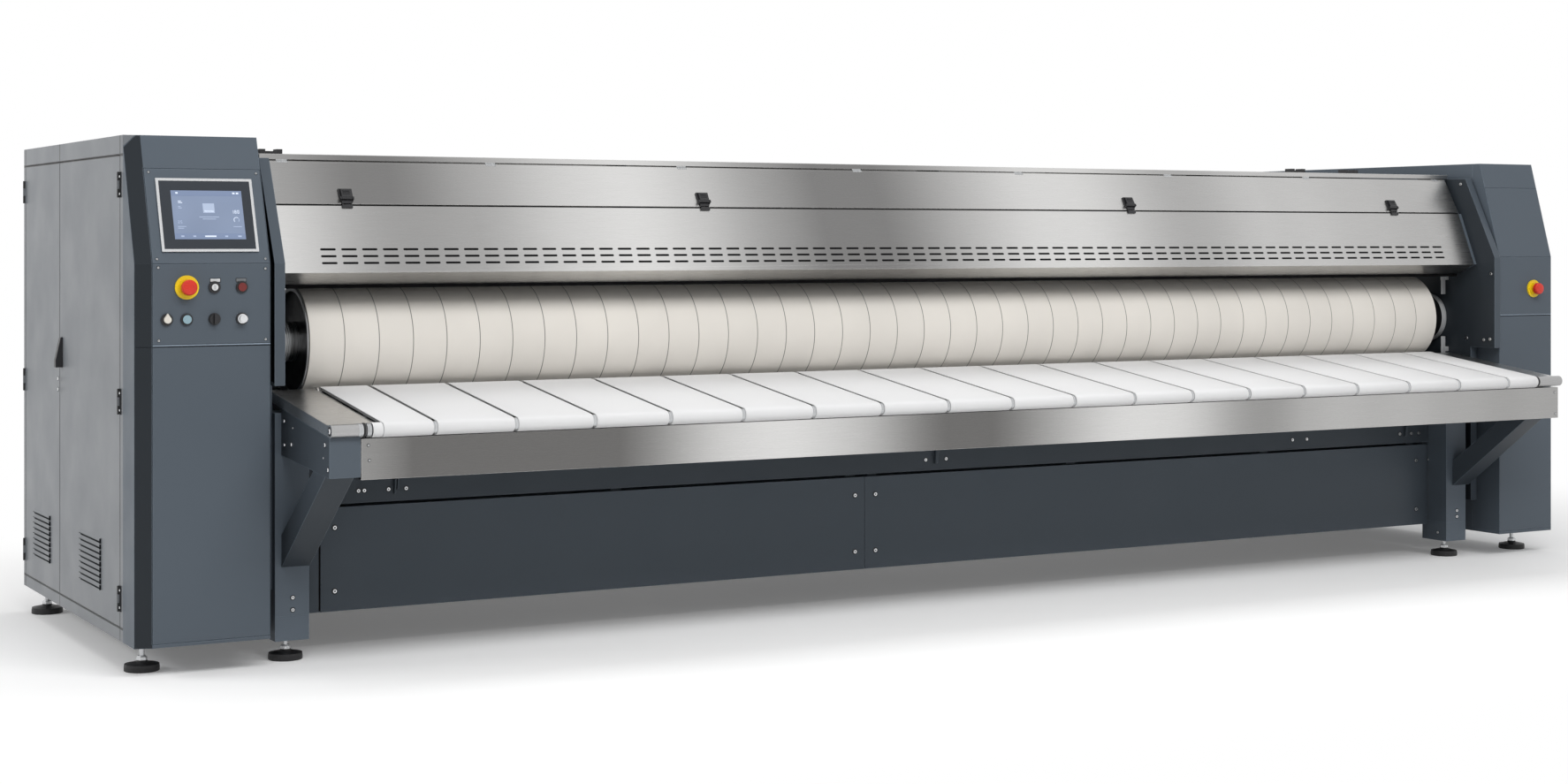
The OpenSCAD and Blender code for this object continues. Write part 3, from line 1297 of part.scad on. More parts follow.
// Draw latches: bases on the lid, levers that flip out, keepers on the slotted panel
latch_w = 50;
latch_t = 6;
latch_len = 62;
latch_low = 5;
lever_w = 38;
lever_pivot = 20;
lever_pin_r = 3;
lever_pin_out = 11;
lever_t = 8;
latch_shares = [0.0509, 0.3014, 0.661, 0.9256];
latch_xs = [for (s = latch_shares) cheek_li + clear_w * s];

module latch_bases() color(black) on_lid() for (x = latch_xs) difference() {
    union() {
        block([x - latch_w / 2, -latch_t, lid_seam_gap + latch_low * 2], [x + latch_w / 2, -fit, latch_len]);
        block([x - lever_w / 2, -latch_t, lid_seam_gap],
            [x + lever_w / 2, -fit, lid_seam_gap + latch_low * 3]);
        for (side = [-1, 1]) block(
            [x + side * latch_w / 2 - (side > 0 ? latch_low : 0), -lever_pin_out - latch_low,
                lever_pivot - latch_low],
            [x + side * latch_w / 2 + (side > 0 ? 0 : latch_low), -fit, lever_pivot + latch_low]);
    }
    rod_x(x - latch_w, x + latch_w, -lever_pin_out, lever_pivot, lever_pin_r + run);
}

module latch_lever(i) color(black) on_lid() let (x = latch_xs[i]) {
    rod_x(x - latch_w / 2 + over, x + latch_w / 2 - over, -lever_pin_out, lever_pivot, lever_pin_r);
    rod_x(x - lever_w / 2, x + lever_w / 2, -lever_pin_out, lever_pivot, lever_pin_r + over);
    along_x(x - lever_w / 2, x + lever_w / 2) polygon([[-lever_pin_out + over, lever_pivot],
        [-latch_t - fit - over, lever_pivot + 2 * lever_pin_r], [-latch_t - fit - over, latch_len - 2 * over],
        [-latch_t - lever_t, latch_len - latch_low], [-lever_pin_out - lever_t * 0.7, lever_pivot + latch_low],
        [-lever_pin_out - lever_pin_r, lever_pivot]]);
}
module latch_lever_1() latch_lever(0);
module latch_lever_2() latch_lever(1);
module latch_lever_3() latch_lever(2);
module latch_lever_4() latch_lever(3);

// Keepers under the latches, and the catches on top of the hood
catch_shares = [0.0062, 0.842, 0.898];
catch_len = 82;
catch_d = 42;
catch_h = 18;
module canopy_catches() color(black) {
    for (x = latch_xs) on_front() block([x - lever_w / 2, -latch_t, front_len - latch_low * 2.6],
        [x + lever_w / 2, -fit, front_len - over]);
    for (s = catch_shares) let (x = cheek_li + clear_w * s) difference() {
        block([x - catch_len / 4, lid_top[0] + catch_d, canopy_z + fit],
            [x + catch_len * 0.75, lid_top[0] + 2 * catch_d, canopy_z + catch_h]);
        block([x, lid_top[0] + catch_d - over, canopy_z + catch_h * 0.6],
            [x + catch_len / 2, lid_top[0] + 2 * catch_d + over, canopy_z + catch_h + over]);
    }
}

// Skirts under the table and covers at the rear, with hangers to the beams
skirt_end = 8;
skirt_x0 = cheek_li + belt_margin;
skirt_x1 = right_leg_x - fit - skirt_end;
skirt_split_share = 0.4242;
skirt_split = skirt_x0 + (skirt_x1 - skirt_x0) * skirt_split_share;
strip_x0 = left_leg_x + leg_w + fit;
hanger_w = 40;
hanger_t = 5;
hanger_shares = [0.01, 0.22, 0.415, 0.434, 0.62, 0.82, 0.985];

module skirt(x0, x1, y, z0, z1, fold) {
    block([x0, y, z0], [x1, y + sheet, z1]);
    for (z = [z0, z1 - sheet]) block([x0, min(y, y + fold), z], [x1, max(y + sheet, y + fold), z + sheet]);
}

module skirt_panels() color(dark_paint) {
    skirt(skirt_x0, skirt_split - seam, skirt_y, skirt_z, skirt_top_z, beam_d / 2);
    skirt(skirt_split + seam, skirt_x1, skirt_y, skirt_z, skirt_top_z, beam_d / 2);
    skirt(strip_x0, skirt_x0 - seam, skirt_y + sheet, skirt_z, skirt_top_z, beam_d / 2);
    for (s = hanger_shares) let (x = skirt_x0 + (skirt_x1 - skirt_x0) * s) {
        block([x - hanger_w / 2, skirt_y + sheet + fit, skirt_z + sheet + fit],
            [x + hanger_w / 2, skirt_y + sheet + fit + hanger_t, skirt_top_z - sheet - fit]);
        block([x - hanger_w / 2, skirt_y + beam_d / 2 + fit, skirt_top_z - 2 * hanger_w],
            [x + hanger_w / 2, skirt_y + beam_d / 2 + fit + hanger_t, upper_beam_z - fit]);
    }
    // Rear covers, between the cheek plates and behind the rear legs
    for (x = [[cheek_li + fit, mid_x - seam], [mid_x + seam, cheek_ri - fit]])
        skirt(x[0], x[1], rear_leg_y + leg_d + fit, skirt_z, slide_low_z - 6 * sheet, beam_d / 3);
}

// Delivery slide behind the roll, down to the rear
slide_in = 12;
slide_up = 14;
slide_low_drop = 221;
slide_lip = 18;
slide_top = [axis_y + roll_r + slide_in, axis_z + slide_up];
slide_low_z = axis_z - slide_low_drop;
slide_end = [hood_rear - slide_up / 2, slide_low_z];
module delivery_slide() color(stainless) {
    along_x(cheek_li + fit, cheek_ri - fit)
        polygon(reversed(bent_sheet(
            [slide_top - [0, slide_up], slide_top, slide_end, slide_end - [0, slide_lip]], -steel_t)));
}

module exhaust_spigot() color(stainless) difference() {
    union() {
        rod_y(hood_rear + fit, hood_rear + spigot_len + fit, spigot_x, spigot_z, spigot_r);
        rod_y(hood_rear + fit, hood_rear + fit + sheet, spigot_x, spigot_z, spigot_r + 6 * sheet);
    }
    rod_y(hood_rear - over, hood_rear + spigot_len + fit + over, spigot_x, spigot_z, spigot_r - steel_t);
}

frame_legs();
frame_beams();
foot_spindles();
foot_pads();
cheek_plates();
left_cabinet();
right_cabinet();
console_housings();
screen_panel();
button_panel();
cover_panels();
touch_bezel();
touch_glass();
estop_collars();
left_estop();
right_estop();
pilot_bezels();
key_switch();
red_button();
white_knob();
blue_button();
black_selector();
speed_knob();
front_door();
rear_door();
door_hinges();
door_handle();
mounting_plate();
switchgear();
gearmotors();
roll_core();
roll_end_discs();
roll_padding();
roll_bearings();
chest();
heating_rods();
chest_jacket();
chest_yokes();
lift_cylinders();
feed_belts();
front_roller();
drive_roller();
feed_bed();
table_rails();
front_bar();
table_arms();
canopy_front();
canopy_lid();
canopy_top();
canopy_ribs();
lid_hinge();
latch_bases();
latch_lever_1();
latch_lever_2();
latch_lever_3();
latch_lever_4();
canopy_catches();
skirt_panels();
delivery_slide();
exhaust_spigot();
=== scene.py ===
"""The looks of a flatwork ironer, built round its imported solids. Units are metres."""
import math

import bmesh
import bpy
from mathutils import Matrix, Vector


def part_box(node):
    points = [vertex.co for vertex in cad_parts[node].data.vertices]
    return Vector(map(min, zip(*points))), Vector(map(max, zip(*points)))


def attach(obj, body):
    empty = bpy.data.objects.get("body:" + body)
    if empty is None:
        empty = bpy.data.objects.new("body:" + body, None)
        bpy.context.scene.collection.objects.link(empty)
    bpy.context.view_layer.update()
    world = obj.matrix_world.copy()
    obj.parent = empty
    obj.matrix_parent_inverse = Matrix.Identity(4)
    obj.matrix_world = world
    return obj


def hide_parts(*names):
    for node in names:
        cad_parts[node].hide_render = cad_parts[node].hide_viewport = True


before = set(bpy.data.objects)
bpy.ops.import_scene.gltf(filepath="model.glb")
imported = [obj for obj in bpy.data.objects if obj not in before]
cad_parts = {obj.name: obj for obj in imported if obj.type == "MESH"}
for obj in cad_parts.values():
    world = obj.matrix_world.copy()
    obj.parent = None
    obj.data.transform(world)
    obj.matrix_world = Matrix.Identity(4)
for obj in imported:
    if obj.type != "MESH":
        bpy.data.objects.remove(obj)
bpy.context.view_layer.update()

# --- Camera ---
# A level camera at a standing person's eye, left of the machine, with a long lens.
# The picture is shifted down, so that upright edges stay upright.
CAMERA_PLACE = (-5.259, -8.4515, 1.450)
CAMERA_TURN = math.radians(-29.58)
PICTURE_W = 1774
FOCAL_PX = 2685
HORIZON_OVER_MIDDLE_PX = 172.5
SENSOR_W = 36.0


def in_scene(name, data):
    """A new object in the scene."""
    thing = bpy.data.objects.new(name, data)
    bpy.context.collection.objects.link(thing)
    return thing


camera_data = bpy.data.cameras.new("camera")
camera_data.sensor_fit = "HORIZONTAL"
camera_data.sensor_width = SENSOR_W
camera_data.lens = SENSOR_W * FOCAL_PX / PICTURE_W
camera_data.shift_y = -HORIZON_OVER_MIDDLE_PX / PICTURE_W
camera = in_scene("camera", camera_data)
camera.location = CAMERA_PLACE
camera.rotation_euler = (math.radians(90), 0, CAMERA_TURN)
bpy.context.scene.camera = camera
bpy.context.scene.view_settings.view_transform = "Standard"

# --- Studio ---
# A wide pale floor under an even white surround, with three large soft lamps.
# The floor keeps the machine's shadow and turns white a little way from it.
FLOOR_HALF = 60.0
FLOOR_COLOUR = 0.8
FLOOR_SEEN = 0.95
FLOOR_LIFT = 0.13
FADE_REACH = (2.2, 1.2)
FADE_MIDDLE_Y = 0.3
FADE_FROM, FADE_TO = 1.45, 2.9
SURROUND = 0.35
WHITE = (1, 1, 1, 1)


class Nodes:
    """A node tree, with short ways to add and join its nodes."""
    family = "ShaderNode"

    def __init__(self, tree):
        self.tree = tree

    def add(self, kind, settings=None, **inputs):
        """A node of the tree's own family, with settings as attributes and inputs as values or links."""
        return self.new(self.family + kind, settings, **inputs)

    def new(self, kind, settings=None, **inputs):
        node = self.tree.nodes.new(kind)
        for name, value in (settings or {}).items():
            setattr(node, name, value)
        for name, value in inputs.items():
            self.set(node, name.replace("_", " "), value)
        return node

    def set(self, node, name, value):
        """Sets an input to a value, or links it to a socket or to a node's first output."""
        socket = node.inputs[int(name)] if name.isdigit() else node.inputs[name]
        if isinstance(value, bpy.types.Node):
            value = value.outputs[0]
        if isinstance(value, bpy.types.NodeSocket):
            self.tree.links.new(value, socket)
        else:
            socket.default_value = value

    def math(self, operation, *values):
        node = self.new("ShaderNodeMath", {"operation": operation})
        for place, value in enumerate(values):
            self.set(node, str(place), value)
        return node.outputs[0]


class Shader(Nodes):
    """The node tree of one material or of the world."""

    def __init__(self, owner):
        owner.use_nodes = True
        self.owner = owner
        super().__init__(owner.node_tree)
        self.tree.nodes.clear()


def seen_directly(shader):
    """1 for a ray from the camera or off metal and glass, 0 for light that falls on the object."""
    path = shader.add("LightPath")
    either = shader.math("MAXIMUM", path.outputs["Is Glossy Ray"], path.outputs["Is Transmission Ray"])
    return shader.math("MAXIMUM", path.outputs["Is Camera Ray"], either)


world = bpy.data.worlds.new("surround")
bpy.context.scene.world = world
shader = Shader(world)
lighting = shader.add("Background", Color=WHITE, Strength=SURROUND)
showing = shader.add("Background", Color=WHITE, Strength=1.0)
mixed = shader.add("MixShader", **{
    "0": seen_directly(shader), "1": lighting, "2": showing})
shader.add("OutputWorld", Surface=mixed)

floor_mesh = bpy.data.meshes.new("floor")
floor_mesh.from_pydata([(x * FLOOR_HALF, y * FLOOR_HALF, 0) for x, y in ((-1, -1), (1, -1), (1, 1), (-1, 1))],
                       [], [(0, 1, 2, 3)])
floor = in_scene("floor", floor_mesh)
shader = Shader(bpy.data.materials.new("floor"))
direct = seen_directly(shader)
tone = shader.add("MapRange", Value=direct, **{"To Min": FLOOR_COLOUR, "To Max": FLOOR_SEEN})
matte = shader.add("BsdfDiffuse", Color=tone)
lift = shader.add("Emission", Color=WHITE, Strength=shader.math("MULTIPLY", direct, FLOOR_LIFT))
near = shader.add("AddShader", **{"0": matte, "1": lift})
white = shader.add("Emission", Color=WHITE, Strength=1.0)
shrunk = shader.add("Mapping", Vector=shader.add("TexCoord").outputs["Object"],
                    Location=(0, -FADE_MIDDLE_Y / FADE_REACH[1], 0),
                    Scale=(1 / FADE_REACH[0], 1 / FADE_REACH[1], 0))
away = shader.add("VectorMath", {"operation": "LENGTH"}, **{"0": shrunk})
fade = shader.add("MapRange", {"interpolation_type": "SMOOTHSTEP"}, Value=away.outputs["Value"],
                  **{"From Min": FADE_FROM, "From Max": FADE_TO})
ground = shader.add("MixShader", **{
    "0": shader.math("MULTIPLY", fade.outputs[0], direct), "1": near, "2": white})
shader.add("OutputMaterial", Surface=ground)
floor_mesh.materials.append(shader.owner)


def soft_lamp(name, place, target, size, power):
    data = bpy.data.lights.new(name, "AREA")
    data.shape, data.size, data.size_y, data.energy = "RECTANGLE", size[0], size[1], power
    lamp = in_scene(name, data)
    lamp.location = place
    lamp.rotation_euler = (Vector(target) - Vector(place)).to_track_quat("-Z", "Y").to_euler()
    lamp.visible_camera = lamp.visible_glossy = False


soft_lamp("front_high", place=(-1.0, -7.5, 7.5), target=(0.2, -0.5, 0.9), size=(9.0, 3.0), power=590)
soft_lamp("overhead", place=(0.3, 0.6, 6.0), target=(0.3, 0.4, 1.0), size=(8.0, 3.0), power=130)
soft_lamp("left_side", place=(-8.5, 1.5, 3.5), target=(-3.3, 0.3, 1.5), size=(3.0, 2.0), power=150)

# --- Painted steel casings ---
# Folded sheet steel and welded tube in powder coat: slate grey on the housings and the frame,
# a lighter grey on the cabinets' sides, which stands in for the sheen of the same slate coat as painted
# reflection.
# The coat has a fine orange-peel skin, and a painted highlight runs along its folds.
PAINT = (0.097, 0.118, 0.142)
SIDE_SHEEN_PAINT = (0.185, 0.197, 0.212)
PAINT_GLOSS = 0.2
EDGE_ROUND = 0.0038
EDGE_SHARE = 0.8
SEAM_HALF, SEAM_SHADE = 0.0045, 0.06
# The joints round the two doors, and the one between them
DOOR_SEAMS = (("Y", -0.4285), ("Y", 0.4565), ("Y", 1.0365), ("Z", 1.734), ("Z", 0.147))


class Surface(Shader):
    """A material on Object coordinates with one Principled shader."""

    def __init__(self, name, **uniform):
        super().__init__(bpy.data.materials.new(name))
        self.body = self.add("BsdfPrincipled")
        for key, value in uniform.items():
            self.body.inputs[key.replace("_", " ")].default_value = value
        place = self.add("TexCoord")
        self.coordinates, self.facing = place.outputs["Object"], place.outputs["Normal"]
        self.add("OutputMaterial", Surface=self.body)

    def grain(self, scale, detail=2.0, stretch=(1, 1, 1)):
        """A soft random pattern, with its scale per metre, stretched along the axes with a low factor."""
        placed = self.add("Mapping", Vector=self.coordinates, Scale=stretch)
        noise = self.add("TexNoise", Vector=placed, Scale=scale, Detail=detail)
        return noise.outputs[0]

    def spread(self, pattern, low, high, start=0.3, end=0.7):
        """A pattern's values from start to end, spread from low to high."""
        ranged = self.add("MapRange", Value=pattern, **{"From Min": start, "From Max": end,
                                                                  "To Min": low, "To Max": high})
        return ranged.outputs[0]

    def between(self, factor, first, second):
        """A colour between two colours, each a tuple of three or a socket."""
        mix = self.add("Mix", {"data_type": "RGBA"})
        self.set(mix, "0", factor)
        for place, colour in (("6", first), ("7", second)):
            self.set(mix, place, (*colour, 1) if isinstance(colour, tuple) else colour)
        return mix.outputs[2]

    def wander(self, first, second, *grain):
        """A colour that wanders between two in a grain."""
        return self.between(self.spread(self.grain(*grain), 0, 1), first, second)

    def paint(self, colour):
        self.set(self.body, "Base Color", colour)

    def tint(self, first, second, *grain):
        self.paint(self.wander(first, second, *grain))

    def gloss(self, smooth, rough, *grain):
        """A roughness that wanders between two values in a grain."""
        self.set(self.body, "Roughness", self.spread(self.grain(*grain), smooth, rough))

    def relief(self, pattern, depth, strength, under=None):
        """Lets the normal follow a pattern's height, over another normal if one is given."""
        bump = self.add("Bump", Height=pattern, Strength=strength, Distance=depth)
        if under is not None:
            self.set(bump, "Normal", under)
        self.set(self.body, "Normal", bump.outputs[0])

    def folds(self, radius):
        """The normal as if each edge were rounded, and a mask that is 1 on an edge."""
        soft = self.add("Bevel", {"samples": 4}, Radius=radius).outputs[0]
        flat = self.add("NewGeometry").outputs["True Normal"]
        same = self.add("VectorMath", {"operation": "DOT_PRODUCT"}, **{"0": soft, "1": flat})
        return soft, self.spread(same.outputs["Value"], 1, 0, 0.84, 0.99)

    def reach(self, axis):
        """The place along an axis."""
        return self.add("SeparateXYZ", Vector=self.coordinates).outputs[axis]

    def turned_to(self, axis, middle, half):
        """1 where the surface's normal has this share along the axis, else 0."""
        share = self.add("SeparateXYZ", Vector=self.facing).outputs[axis]
        return self.math("COMPARE", share, middle, half)


def shade(colour, factor):
    return tuple(min(1.0, c * factor) for c in colour)


def dress(surface, *names):
    """Gives a material to CAD nodes."""
    for name in names:
        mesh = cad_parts[name].data
        mesh.materials.clear()
        mesh.materials.append(surface.owner)


def powder_coat(name, colour, roughness=0.4, edge=2.3, shaded_faces=(), seams=()):
    """Powder coat, with a painted highlight along its edges, lighter by a factor.

    Faces that look one way are darker, as painted shade: each of shaded_faces is (axis, normal's share, half
    width, factor).
    A joint on the faces that look left gets a dark line of painted shade: each of seams is (axis, place)."""
    coat = Surface(name, Specular_IOR_Level=PAINT_GLOSS)
    soft, edge_highlight = coat.folds(EDGE_ROUND)
    tone = coat.wander(shade(colour, 0.98), shade(colour, 1.02), 1.3, 3.0)
    for axis, share, half, factor in shaded_faces:
        there = coat.math("MULTIPLY", coat.turned_to(axis, share, half), 1 - factor)
        tone = coat.between(there, tone, (0.0, 0.0, 0.0))
    # A painted highlight along the folds
    tone = coat.between(coat.math("MULTIPLY", edge_highlight, EDGE_SHARE), tone, shade(colour, edge))
    for axis, place in seams:
        line = coat.math("COMPARE", coat.reach(axis), place, SEAM_HALF)
        line = coat.math("MULTIPLY", line, coat.turned_to("X", -1.0, 0.1))
        tone = coat.between(line, tone, shade(colour, SEAM_SHADE))
    coat.paint(tone)
    coat.gloss(roughness - 0.05, roughness + 0.06, 5.0, 4.0)
    coat.relief(coat.grain(700.0), 0.0002, 0.1, soft)
    return coat


# The same slate coat is darkened as painted shade on the left housing's chamfer and on faces that look left
# or down on the cheeks, frame and legs. The cheeks, beams and skirts are darker copies of it, as painted
# shade under the canopy and the table, and the legs a lighter copy, as painted light.
housing_paint = powder_coat("slate_powder_coat", PAINT, 0.42, shaded_faces=(("X", -0.34, 0.12, 0.22),))
panel_paint = powder_coat("panel_powder_coat", PAINT)
side_sheen_paint = powder_coat("light_powder_coat", SIDE_SHEEN_PAINT, 0.36, 1.6, seams=DOOR_SEAMS)
cheek_shaded_paint = powder_coat("cheek_powder_coat", shade(PAINT, 0.78), edge=2.6, shaded_faces=(("X", -1.0, 0.1, 0.4),))
frame_shaded_paint = powder_coat("frame_powder_coat", PAINT, edge=2.6,
                          shaded_faces=(("X", -1.0, 0.1, 0.62), ("Z", -0.55, 0.3, 0.45)))
leg_lit_paint = powder_coat("leg_powder_coat", shade(PAINT, 1.3), edge=2.2, shaded_faces=(("X", -1.0, 0.1, 0.75),))
beam_shaded_paint = powder_coat("beam_powder_coat", shade(PAINT, 0.55), edge=3.2)
dress(housing_paint, "console_housings")
dress(panel_paint, "screen_panel", "button_panel", "cover_panels", "right_cabinet")
dress(side_sheen_paint, "left_cabinet")
dress(cheek_shaded_paint, "cheek_plates")
dress(frame_shaded_paint, "table_arms", "canopy_ribs", "chest_yokes")
dress(leg_lit_paint, "frame_legs")
dress(beam_shaded_paint, "frame_beams")
dress(powder_coat("skirt_powder_coat", shade(PAINT, 0.84), edge=2.8), "skirt_panels")

# --- Cabinet doors ---
# Two sheet-steel doors with pressed louvres, on black leaf hinges. Each leaf has two pan-head screws,
# and the handle's plate is held by two more.
LEFT_X = -3.266
HINGE_X = -3.2697
HINGE_YS = (-0.4398, 1.0478)
HINGE_ZS = (0.246, 0.9065, 1.632)
HINGE_SCREW_OFF = 0.029

dress(side_sheen_paint, "front_door", "rear_door")


def ready_piece(name, mesh, body):
    """Makes a mesh into a piece that rides on a body."""
    piece = in_scene(name, mesh)
    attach(piece, body)
    return piece


def shape_to_piece(name, shape, body, slot, *surfaces):
    """Makes a finished bmesh into a piece, with these surfaces as its materials."""
    bmesh.ops.recalc_face_normals(shape, faces=shape.faces)
    mesh = bpy.data.meshes.new(name)
    shape.to_mesh(mesh)
    shape.free()
    mesh.set_sharp_from_angle(angle=math.radians(32))
    for surface in surfaces:
        mesh.materials.append(surface.owner)
    return ready_piece(name, mesh, body)


class ShapeTree(Nodes):
    """A Geometry Nodes tree with named inputs."""
    family = "GeometryNode"

    def __init__(self, name, **kinds):
        super().__init__(bpy.data.node_groups.new(name, "GeometryNodeTree"))
        self.keys = {}
        for label, kind in kinds.items():
            socket = self.tree.interface.new_socket(name=label, in_out="INPUT",
                                                    socket_type="NodeSocket" + kind)
            self.keys[label] = socket.identifier
        self.tree.interface.new_socket(name="Made", in_out="OUTPUT", socket_type="NodeSocketGeometry")
        self.inputs = self.new("NodeGroupInput").outputs

    def join(self, *shapes):
        both = self.add("JoinGeometry")
        for shape in shapes:
            self.set(both, "0", shape)
        return both.outputs[0]

    def repeat(self, shape, points, **turning):
        """The shape on every point, as real geometry."""
        placed = self.add("InstanceOnPoints", Points=points, Instance=shape, **turning)
        return self.add("RealizeInstances", Geometry=placed).outputs[0]

    def skin(self, shape, material, **part):
        return self.add("SetMaterial", Geometry=shape, Material=material, **part).outputs[0]

    def finish(self, shape):
        self.new("NodeGroupOutput", Made=shape)

    def make(self, name, points, body, slot, **values):
        """Runs the tree on points and keeps the result as a plain mesh."""
        mesh = bpy.data.meshes.new(name + "_places")
        mesh.from_pydata(points, [], [])
        carrier = in_scene(name + "_places", mesh)
        modifier = carrier.modifiers.new("shape", "NODES")
        modifier.node_group = self.tree
        for label, value in values.items():
            modifier[self.keys[label]] = value
        ready = carrier.evaluated_get(bpy.context.evaluated_depsgraph_get())
        made = bpy.data.meshes.new_from_object(ready)
        bpy.data.objects.remove(carrier)
        made.name = name
        return ready_piece(name, made, body)


# A screw: a round head that narrows to a flat top with a socket, on a thin washer. The socket and the washer
# are dark as painted shade round the head
HEAD_SIDES, WASHER_SIDES = 12, 16
HEAD_TOP, SOCKET_DEPTH, WASHER_THICK = 0.8, -0.6, 0.4
screw_tree = ShapeTree("socket_screw", Places="Geometry", Radius="Float", Height="Float", Socket="Float",
                       Washer="Float", Facing="Vector", Steel="Material", Dark="Material")
size = screw_tree.inputs
head = screw_tree.add("MeshCone", Vertices=HEAD_SIDES, Radius_Bottom=size["Radius"],
                      Radius_Top=screw_tree.math("MULTIPLY", size["Radius"], HEAD_TOP), Depth=size["Height"])
rim = screw_tree.add("ExtrudeMesh", {"mode": "FACES"}, Mesh=head.outputs["Mesh"],
                     Selection=head.outputs["Top"], Offset_Scale=0.0)
narrowed = screw_tree.add("ScaleElements", Geometry=rim.outputs["Mesh"],
                          Selection=rim.outputs["Top"], Scale=size["Socket"])
sunk = screw_tree.add("ExtrudeMesh", {"mode": "FACES"}, Mesh=narrowed, Selection=rim.outputs["Top"],
                      Offset_Scale=screw_tree.math("MULTIPLY", size["Height"], SOCKET_DEPTH))
hollow = screw_tree.new("FunctionNodeBooleanMath", {"operation": "OR"}, **{
    "0": sunk.outputs["Top"], "1": sunk.outputs["Side"]})
marked = screw_tree.add("StoreNamedAttribute", {"data_type": "BOOLEAN", "domain": "FACE"},
                        Geometry=sunk.outputs["Mesh"], Name="dark", Value=hollow)
washer = screw_tree.add("MeshCylinder", Vertices=WASHER_SIDES, Radius=size["Washer"],
                        Depth=screw_tree.math("MULTIPLY", size["Height"], WASHER_THICK))
washer_dark = screw_tree.add("StoreNamedAttribute", {"data_type": "BOOLEAN", "domain": "FACE"},
                             Geometry=washer.outputs["Mesh"], Name="dark", Value=True)
real = screw_tree.repeat(screw_tree.join(marked, washer_dark), size["Places"], Rotation=size["Facing"])
is_dark = screw_tree.add("InputNamedAttribute", {"data_type": "BOOLEAN"}, Name="dark")
screw_tree.finish(screw_tree.skin(screw_tree.skin(real, size["Steel"]), size["Dark"],
                                  Selection=is_dark.outputs["Attribute"]))

bright_screw = Surface("zinc_plated_screw", Metallic=1.0)
bright_screw.tint((0.66, 0.67, 0.68), (0.82, 0.83, 0.84), 90.0)
bright_screw.gloss(0.22, 0.36, 300.0)
socket_dark = Surface("screw_socket_shade", Roughness=0.6)
socket_dark.tint((0.010, 0.011, 0.013), (0.02, 0.022, 0.025), 200.0)

FACING_FRONT = (math.radians(90), 0.0, 0.0)
FACING_LEFT = (0.0, math.radians(-90), 0.0)


def screws(name, places, radius, facing=FACING_FRONT, body="frame", washer=1.35, height=0.45):
    """Screws in these places; the washer's radius and the head's height are shares of the head's radius."""
    screw_tree.make(name, places, body, "machined_steel", Radius=radius, Height=radius * height, Socket=0.5,
                    Washer=radius * washer, Facing=facing, Steel=bright_screw.owner, Dark=socket_dark.owner)


screws("hinge_screws", [(HINGE_X, y, z + side * HINGE_SCREW_OFF)
                        for y in HINGE_YS for z in HINGE_ZS for side in (-1, 1)],
       0.0045, FACING_LEFT, height=0.6)
screws("handle_screws", [(-3.2765, 0.436, 0.940), (-3.2765, 0.436, 0.901)], 0.006, FACING_LEFT, "front_door")

# Each louvre gets thin black slabs of painted shade: in its mouth, along its hood's rim and at its hood's end
LOUVRE_Z, LOUVRE_STEP, LOUVRES = 0.247, 0.020, 9
LOUVRE_EASE = 0.0002
mouth_black = Surface("louvre_shade", Roughness=0.8, Specular_IOR_Level=0.1)
mouth_black.tint((0.010, 0.011, 0.013), (0.018, 0.020, 0.023), 40.0)


def slab(shape, low, high, edge, place=Matrix(), material=0):
    """A block with eased edges between two corners, put in place by a matrix."""
    span, middle = Vector(high) - Vector(low), (Vector(high) + Vector(low)) / 2
    made = bmesh.ops.create_cube(shape, size=1.0,
                                 matrix=place @ Matrix.Translation(middle) @ Matrix.Diagonal((*span, 1)))
    faces = {face for vert in made["verts"] for face in vert.link_faces}
    for face in faces:
        face.material_index = material
    if edge:
        bmesh.ops.bevel(shape, geom=list({e for face in faces for e in face.edges}), offset=edge, segments=2,
                        affect="EDGES", profile=0.5)


for door, y0, y1 in (("front_door", -0.1646, 0.1335), ("rear_door", 0.6095, 0.8805)):
    mouths = bmesh.new()
    for i in range(LOUVRES):
        foot = LOUVRE_Z + i * LOUVRE_STEP
        for outer, inner, start, end, low, high in (
                (0.0006, -0.0008, y0 + 0.002, y1 - 0.002, -0.0068, -0.0003),
                (0.0064, 0.0056, y0 + 0.002, y1 - 0.002, 0.0, 0.0022),
                (0.0058, -0.0008, y0 - 0.0014, y0 + 0.0002, -0.0068, 0.011)):
            slab(mouths, (LEFT_X - outer, start, foot + low), (LEFT_X - inner, end, foot + high), LOUVRE_EASE)
    shape_to_piece(door + "_louvre_mouths", mouths, door, "black_steel", mouth_black)

# --- Console panels ---
# Two folded plates on the left housing, the sloped one for the touch panel and the upright one for the
# pilot devices. Each is held by a small pan-head screw in each corner.
FRONT_Y = -0.6325
LEFT_TILT = math.radians(20.29)
BEND_Z = 1.370

# x from the left side, up the slope, out of it
on_slope = Matrix((
    (1, 0, 0, LEFT_X),
    (0, math.sin(LEFT_TILT), -math.cos(LEFT_TILT), FRONT_Y),
    (0, math.cos(LEFT_TILT), math.sin(LEFT_TILT), BEND_Z),
    (0, 0, 0, 1)))

screws("button_panel_screws", [(x, FRONT_Y, z) for x, z in (
    (-3.192, 1.357), (-2.831, 1.352), (-3.190, 1.116), (-2.830, 1.114))], 0.0042)
screws("screen_panel_screws", [
    on_slope @ Vector((x, up, 0.0)) for x in (0.071, 0.437) for up in (0.016, 0.325)],
       0.0038, (math.radians(90) - LEFT_TILT, 0.0, 0.0))
